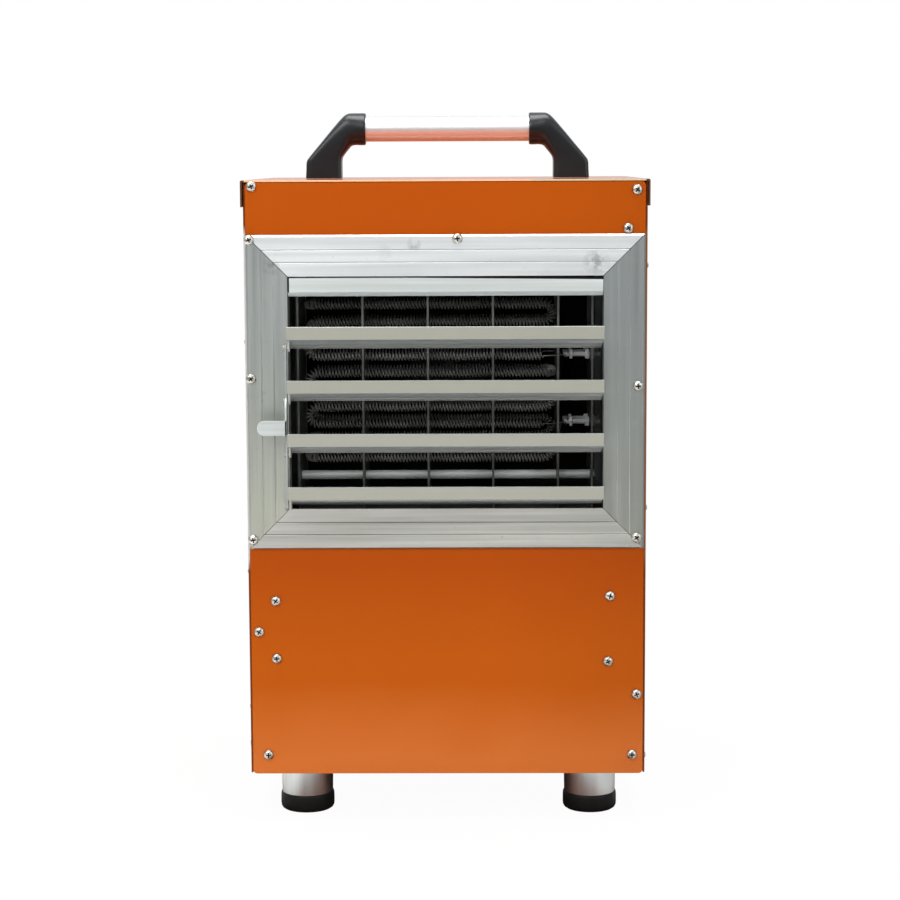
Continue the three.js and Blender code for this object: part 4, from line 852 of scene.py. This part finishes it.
def studs():
    """Each stud as a threaded rod, with two nuts at the rack's end plate and one at its lead."""
    for name in (f"terminal_stud_{i}" for i in range(1, 5)):
        low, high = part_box(name)
        middle = (low + high) / 2 / MM
        rod = revolved(threaded(low.x / MM, high.x / MM, 2.0), 20, close=False)
        parts = [placed(rod, Matrix.Translation((0, middle.y, middle.z)) @ FACE_RIGHT)]
        ends = (RACK_END - RACK_WALL - 3.2, RACK_END + RACK_WALL, STUD_END + 4.4)
        for at, wall in zip(ends, (3.2, 3.2, 2.4)):
            spin = Matrix.Rotation(math.radians(18 + 7 * at % 30), 4, "Z")
            spot = Matrix.Translation((at, middle.y, middle.z)) @ FACE_RIGHT @ spin
            parts.append(placed(hex_nut(7.0, wall), spot))
        made = add_mesh(name + "_set", *joined(parts), lit_zinc, slot="zinc_steel", sharp=30)
        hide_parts(name)


# ---------------- fan and guard
FAN = Vector((0, 0, 332))
GUARD_Y, GUARD_WIRE = 153.2, 1.3
GUARD_RINGS = (44, 53, 62, 71, 80, 89, 98, 106)
GUARD_FIXING = 109.5                     # radius of the guard's four screws
ARM = ((30, -0.4), (60, -0.4), (101, -0.4), (105, -0.9), (107, -2.4), (107.6, -5.3))   # radius, height
HUB_FRONT = 90.4
BLADES, BLADE_ROOT, BLADE_TIP = 7, 34.5, 94
BLADE_PITCH, BLADE_CHORD, BLADE_CAMBER, BLADE_WALL = (38, 22), (47, 99), 4, 2.2


def ring(radius, wire, sides=96, round_sides=10):
    """A closed ring of wire about +Z."""
    rings = []
    for i in range(sides):
        a = 2 * math.pi * i / sides
        points = []
        for k in range(round_sides):
            out, up = on_circle(wire, 2 * math.pi * k / round_sides)
            points.append((*on_circle(radius + out, a), up))
        rings.append(points)
    return lofted(rings, closed=True, flip=True)


def fan_guard():
    """The guard's rings, radial wires, eyes and dished plate, the fan ring's lip, and the screws."""
    parts = [ring(r, GUARD_WIRE * 0.8) for r in GUARD_RINGS]
    for quarter in range(4):
        turn = Matrix.Rotation(math.radians(45 + 90 * quarter), 4, "Z")
        for side in (-1, 1):
            arm = [(x, side * 4, z) for x, z in ARM]
            parts.append(placed(tube(arm, GUARD_WIRE, 12), turn))
        parts.append(placed(ring(5.2, 1.1, 28, 8), turn @ Matrix.Translation((GUARD_FIXING, 0, -4.1))))
    dish = [(0, -1.5), (34, -1.5), (35.6, -1.2), (36, -0.4), (35.4, 0.6), (33, 1.2), (27, 1.3), (24.5, 0.4),
            (20, 0.2), (18.6, 1.3), (8, 1.3), (6.5, 0.4), (0, 0.4)]
    parts.append(revolved(dish, 72, close=False))
    lip = revolved([(90.5, -8.0), (91.4, -8.6), (97.6, -8.6), (97.6, -6.8), (90.5, -6.8)], 96)
    stand = Matrix.Translation((0, GUARD_Y, FAN.z)) @ FACE_REAR
    add_mesh("fan_ring_lip", *placed(lip, stand), ring_shade_black, slot="black_steel")
    made = add_mesh("fan_guard_wires", *placed(joined(parts), stand), black_steel, slot="black_steel")
    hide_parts("fan_guard")
    spots = (on_circle(GUARD_FIXING, math.radians(45 + 90 * quarter)) for quarter in range(4))
    places = [(x, REAR_FACE, FAN.z + z) for x, z in spots]
    head = screw_mesh()
    add_screws("guard_screws", head, places, FACE_REAR, seed=8)
    corners = [(x, GUARD_Y + 0.3, FAN.z + z) for x, z in ((22.2, 0), (-22.2, 0), (0, 22.2), (0, -22.2))]
    add_screws("motor_screws", smaller(head, 0.7), corners, FACE_REAR, seed=9)


def fan_blade(turn):
    """One cambered, twisted blade with a rounded outline, turned about the fan's axis."""
    along, across, verts = 16, 14, []
    for i in range(along + 1):
        out = i / along
        radius = BLADE_ROOT + out * (BLADE_TIP - BLADE_ROOT)
        pitch = math.radians(BLADE_PITCH[0] + out * (BLADE_PITCH[1] - BLADE_PITCH[0]))
        chord = BLADE_CHORD[0] + out * (BLADE_CHORD[1] - BLADE_CHORD[0])
        for k in range(across + 1):
            t = k / across - 0.5
            corner = max(0.0, (out - 0.86) / 0.14) * max(0.0, (abs(t) - 0.38) / 0.12)
            reach = radius - 5 * corner ** 2
            wall = BLADE_WALL * (1 - (2 * abs(t)) ** 4 * 0.75)
            sweep = chord * t * math.cos(pitch) / radius
            rise = chord * t * math.sin(pitch) + BLADE_CAMBER * (1 - 4 * t * t)
            for level in (-0.5, 0.5):
                a = sweep + turn
                verts.append((reach * math.cos(a), 17 + rise + level * wall, reach * math.sin(a)))
    faces, wide = [], 2 * (across + 1)

    def at(i, k, level):
        return i * wide + 2 * k + level

    for i in range(along):
        for k in range(across):
            faces.append((at(i, k, 1), at(i, k + 1, 1), at(i + 1, k + 1, 1), at(i + 1, k, 1)))
            faces.append((at(i, k, 0), at(i + 1, k, 0), at(i + 1, k + 1, 0), at(i, k + 1, 0)))
        for k, order in ((0, 1), (across, -1)):
            faces.append((at(i, k, 0), at(i, k, 1), at(i + 1, k, 1), at(i + 1, k, 0))[::order])
    for k in range(across):
        for i, order in ((0, -1), (along, 1)):
            faces.append((at(i, k, 0), at(i, k, 1), at(i, k + 1, 1), at(i, k + 1, 0))[::order])
    return verts, faces


def fan_rotor():
    """The cup-shaped hub and its seven blades, on the rotor."""
    hub = [(4.4, 0.4), (4.4, 0), (9, 0), (9.6, 0.8), (30, 0.8), (33.5, 0.3), (35.2, 1.4), (36, 3.2),
           (36, 33.4), (35.6, 34), (33.2, 34), (33, 33.5), (33, 3.2), (5, 3.2)]
    parts = [placed(revolved(hub, 72), FACE_REAR)]
    parts += [fan_blade(2 * math.pi * k / BLADES) for k in range(BLADES)]
    spot = Matrix.Translation((0, HUB_FRONT, FAN.z))
    made = add_mesh("fan_impeller", *placed(joined(parts), spot), fan_plastic, "rotor", "black_plastic")
    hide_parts("fan_rotor")


# ---------------- controls on the rear
CONTROL_Z, KNOB_Y = 155, 149.9
THERMOSTAT_X, SWITCH_X = -62, 62
LENS_Y = 148.1
GLAND_PLACE = (108, 146.1, 83)
SCALE_LOW, SCALE_HIGH = -2.02, -1.8      # the scales' lines, from inside the panel to just over its face


def dial(name, x, part, surface, body, slot, replaced=None):
    """A piece that sits on a knob's axis, facing the rear."""
    spot = Matrix.Translation((x, KNOB_Y, CONTROL_Z)) @ FACE_REAR
    made = add_mesh(name, *placed(part, spot), surface, body, slot, sharp=30)
    if replaced:
        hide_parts(replaced)


def fluted(radius, depth, count, low, high):
    """A fluted grip: each ring is a circle with shallow hollows, and the top edge is rounded."""
    rings, sides = [], count * 8
    for h, inset in ((low, 0), (high - 2.2, 0), (high - 1.0, 0.35), (high - 0.3, 1.0), (high, 2.0)):
        points = []
        for k in range(sides):
            a = 2 * math.pi * k / sides
            hollow = depth * max(0.0, math.cos(count * a)) ** 1.5 * (1 - inset / 2)
            points.append((*on_circle(radius - inset - hollow, a), h))
        rings.append(points)
    return lofted(rings)


def slab(low, high):
    """A block between two corners, as points and faces."""
    verts = [(x, y, z) for x in (low[0], high[0]) for y in (low[1], high[1]) for z in (low[2], high[2])]
    return verts, [(0, 1, 3, 2), (4, 6, 7, 5), (0, 4, 5, 1), (2, 3, 7, 6), (0, 2, 6, 4), (1, 5, 7, 3)]


def thermostat():
    """The thermostat's fluted knob with its skirt and mark."""
    skirt = revolved([(3.3, 0), (19.6, 0), (20, 0.4), (20, 2.2), (18.6, 3.0), (3.3, 3.0)], 96)
    dial("thermostat_grip", THERMOSTAT_X, joined([skirt, fluted(17, 1.2, 12, 2.9, 17)]), black_plastic,
         "thermostat_dial", "black_plastic", "thermostat_knob")
    dial("thermostat_mark", THERMOSTAT_X, slab((-0.7, -15.5, 16.7), (0.7, -5, 17.3)), dial_white,
         "thermostat_dial", "grey_plastic")


def rotary_switch():
    """The switch's knob, a round boss with a long grip, and its mark."""
    boss = revolved([(3.3, 0), (17.4, 0), (18, 0.6), (18, 5), (17, 6), (3.3, 6)], 96)
    outline = []
    for cx, cy, first in ((0.5, 14.5, 0), (-0.5, 14.5, 90), (-0.5, -14.5, 180), (0.5, -14.5, 270)):
        outline += arc(cx, cy, 5.5, first, first + 90, 12)
    levels = [(5.9, 1.0), (15.6, 0.96), (16.6, 0.90), (17.0, 0.80)]
    grip = lofted([[(x * f, y * (1 - (1 - f) * 0.3), h) for x, y in outline] for h, f in levels])
    dial("switch_grip", SWITCH_X, joined([boss, grip]), black_plastic, "switch_dial", "black_plastic",
         "switch_knob")
    dial("switch_mark", SWITCH_X, slab((-0.7, -17.5, 16.7), (0.7, -8, 17.25)), dial_white, "switch_dial",
         "grey_plastic")


def scales():
    """The thermostat's eleven lines, every fifth longer, and the switch's three."""
    ticks = []
    for k in range(11):
        turn = Matrix.Rotation(math.radians(-45 - 27 * k), 4, "Z")
        reach = 26.5 if k % 5 else 28.5
        ticks.append(placed(slab((22.5, -0.5, SCALE_LOW), (reach, 0.5, SCALE_HIGH)), turn))
    dial("thermostat_scale", THERMOSTAT_X, joined(ticks), dial_white, BODY, "grey_plastic")
    line = slab((23, -0.6, SCALE_LOW), (27, 0.6, SCALE_HIGH))
    lines = [placed(line, Matrix.Rotation(math.radians(a), 4, "Z")) for a in (-90, -45, 0)]
    dial("switch_scale", SWITCH_X, joined(lines), dial_white, BODY, "grey_plastic")


def pilot_lamp():
    lens = revolved([(0, -24), (5, -24), (6, -22), (6, -1.4), (8, -1.4), (8, -0.2), (7.4, 0.3), (5.8, 0.6),
                     (5.4, 1.6), (4.4, 2.9), (2.6, 3.8), (0, 4.1)], 64, close=False)
    spot = Matrix.Translation((0, LENS_Y, CONTROL_Z)) @ FACE_REAR
    made = add_mesh("lamp_lens", *placed(lens, spot), lamp_red, slot="lamp_red")
    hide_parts("pilot_lamp")


def cable_gland():
    """The gland's stem, nut and ribbed dome with its rubber seal."""
    spot = Matrix.Translation(GLAND_PLACE) @ FACE_REAR
    stem = revolved([(5.5, -12), (9.6, -12), (10, -11), (10, 2.2), (5.5, 2.2)], 48)
    nut = placed(hex_nut(23.4, 6), Matrix.Translation((0, 0, 1.85)))
    sides, rings = 40, []
    for h, r in ((6.8, 11.4), (7.2, 11.9), (17.6, 11.7), (20.5, 10.6), (22.8, 8.9), (24, 7.5), (24, 5.5),
                 (6.8, 5.5)):
        hollow = 0.5 if r > 11 else 0
        rings.append([(*on_circle(r - hollow * (k % 2), 2 * math.pi * k / sides), h) for k in range(sides)])
    body = placed(joined([stem, nut, lofted(rings, closed=True)]), spot)
    made = add_mesh("gland_body", *body, black_plastic, slot="black_plastic", sharp=30)
    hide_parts("cable_gland")
    seal = revolved([(0, 10), (5.6, 10), (5.6, 22.6), (4.6, 23.2), (2.2, 22.4), (0, 22.2)], 40, close=False)
    add_mesh("gland_seal", *placed(seal, spot), rubber, slot="rubber")


# ---------------- louvre link and lever
LINK_X, LINK_Y = -119.1, -154.1
LINK_PINS = (366.96, 246.96)
LEVER_Z, LEVER_HALF, LEVER_END = 307.46, 5.6, -141.6


def plate_along(outline, low, high, axis):
    """A plate from an outline in the two other axes; low and high lie along the given axis."""
    rings = [[(level, u, v) if axis == 0 else (u, level, v) for u, v in outline] for level in (low, high)]
    return lofted(rings, flip=axis == 1)


def link_lever():
    """The upright bar on the louvres' pins, with the lever's web and its finger tab bent out to the left."""
    top, low = LINK_PINS
    front = LINK_Y - 8
    bar = plate_along(arc(LINK_Y, top, 3, 0, 180) + arc(LINK_Y, low, 3, 180, 360), LINK_X - 1.5, LINK_X, 0)
    crown = LEVER_Z + 22
    web = [(LINK_Y - 2.6, LEVER_Z - LEVER_HALF), (LINK_Y - 2.6, crown), (LINK_Y - 3.4, crown + 0.5)]
    web += [(LINK_Y - 3.4 - 4.6 * math.sin(a) ** 1.4, crown + 0.5 - 9 * (1 - math.cos(a)))
            for a in (math.radians(90 * k / 12) for k in range(1, 13))]
    web += [(front, LEVER_Z - LEVER_HALF)]
    leaf = plate_along(web, LINK_X - 1.45, LINK_X - 0.05, 0)
    outline = [(LINK_X - 0.4, LEVER_Z - LEVER_HALF), (LINK_X - 0.1, LEVER_Z - LEVER_HALF + 0.4),
               (LINK_X - 0.1, LEVER_Z + LEVER_HALF - 0.4), (LINK_X - 0.4, LEVER_Z + LEVER_HALF)]
    outline += arc(LEVER_END + LEVER_HALF, LEVER_Z, LEVER_HALF, 90, 270, 24)
    tab = plate_along(outline, front, front + 1.5, 1)
    heads = []
    for k in range(4):
        spot = Matrix.Translation((LINK_X - 1.5, LINK_Y, top - 40 * k)) @ FACE_LEFT
        heads.append(placed(revolved([(1.9, -0.02), (3.1, 0), (3.1, 0.25), (1.9, 0.3)], 28), spot))
    made = add_mesh("link_bar_plate", *joined([bar, leaf, tab] + heads), lever_metal, "link_bar", "aluminium",
                    sharp=30)
    add_bevel(made, 0.25, 50)
    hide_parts("louvre_link_bar")


# ---------------- world, light and floor
def make_world():
    """White to the camera, an even room for diffuse light and a graded one for what gloss mirrors."""
    world = bpy.data.worlds.new("studio")
    bpy.context.scene.world = world
    world.use_nodes = True
    n = Nodes(world.node_tree)
    rays = n.node("LightPath").outputs
    x, y, z = n.node("SeparateXYZ", {0: n.node("TexCoord").outputs["Generated"]}).outputs
    height = n.ramp(z, 0.0, 0.50, n.ramp(y, -0.2, 0.6, 0.38, 0.95), 1.12)
    level = n.maths("MULTIPLY", height, n.ramp(x, -1.0, 1.0, 1.12, 0.80))
    room = n.node("Background", {0: (1, 1, 1), 1: 0.66}).outputs[0]
    graded = n.node("Background", {0: (0.8, 0.8, 0.8), 1: level}).outputs[0]
    white = n.node("Background", {0: (1, 1, 1), 1: 1.0}).outputs[0]
    seen = n.maths("MAXIMUM", rays["Is Camera Ray"], rays["Is Transmission Ray"])
    lit = n.mix_shader(rays["Is Glossy Ray"], room, graded)
    n.node("OutputWorld", {0: n.mix_shader(seen, lit, white)})


def area_light(name, at, target, size, power):
    data = bpy.data.lights.new(name, "AREA")
    data.shape = "RECTANGLE"
    data.size, data.size_y = size
    data.energy = power
    lamp = linked(name, data)
    lamp.location = at
    lamp.rotation_mode = "QUATERNION"
    lamp.rotation_quaternion = (Vector(target) - Vector(at)).to_track_quat("-Z", "Y")


def make_floor():
    """A floor that goes over into the white round it; what gloss mirrors of it carries painted shade under
    the body and to the right, and is dimmer far off.
    """
    floor = linked_mesh("studio_floor", [(-4, -4, 0), (4, -4, 0), (4, 4, 0), (-4, 4, 0)], [(0, 1, 2, 3)])
    t = Tree("studio_floor")
    t.tree.nodes.remove(t.shader)
    rays = t.node("LightPath").outputs
    away = t.node("VectorMath", {0: t.place}, operation="LENGTH").outputs["Value"]
    x, y, _ = t.split()
    # Painted shade for reflections only: a dark patch under the front of the body, warmer deeper in, a dimmer
    # right side and a dimmer far floor.
    beside = t.ramp(t.maths("ABSOLUTE", x), 0.125, 0.19, 1.0, 0.0)
    under = t.maths("MULTIPLY", beside, t.ramp(y, -0.34, -0.19))
    mirrored = rays["Is Glossy Ray"]
    shaded = t.maths("MULTIPLY", mirrored, t.maths("MULTIPLY", under, 1.05))
    right = t.ramp(x, 0.09, 0.28, 0.0, 0.73)
    far = t.maths("MULTIPLY", t.ramp(away, 0.7, 2.6), t.ramp(y, 0.2, 1.2, 1.0, 0.0))
    dimmed = t.maths("MULTIPLY", mirrored, t.maths("MAXIMUM", right, far))
    tone = t.mix(t.ramp(y, -0.25, -0.15), (0.30, 0.31, 0.31), (0.235, 0.125, 0.10))
    ground = t.mix(dimmed, (0.88, 0.88, 0.88), (0.26, 0.26, 0.255))
    lit = t.node("BsdfDiffuse", {"Color": t.mix(shaded, ground, tone)}).outputs[0]
    glow = t.node("Emission", {"Color": (1, 1, 1), "Strength": 1.0}).outputs[0]
    seen = t.maths("MAXIMUM", rays["Is Camera Ray"], rays["Is Transmission Ray"])
    share = t.maths("MULTIPLY", seen, t.ramp(away, 0.25, 1.3, 0.966, 1.0))
    t.feed(t.output.inputs[0], t.mix_shader(share, lit, glow))
    floor.data.materials.append(t.material)


# ---------------- making
bpy.context.scene.view_settings.view_transform = "Standard"
make_camera()
dress_nodes()
screws()
handle()
legs()
coils()
studs()
fan_guard()
fan_rotor()
thermostat()
rotary_switch()
scales()
pilot_lamp()
cable_gland()
link_lever()
make_world()
area_light("key", (-1.1, -2.2, 2.0), (0, 0, 0.3), (1.6, 1.2), 28)
area_light("fill", (1.8, -1.6, 1.0), (0, 0, 0.3), (1.2, 1.6), 9)
area_light("top", (0, -0.05, 2.3), (0, 0, 0.3), (1.5, 1.2), 35)
make_floor()
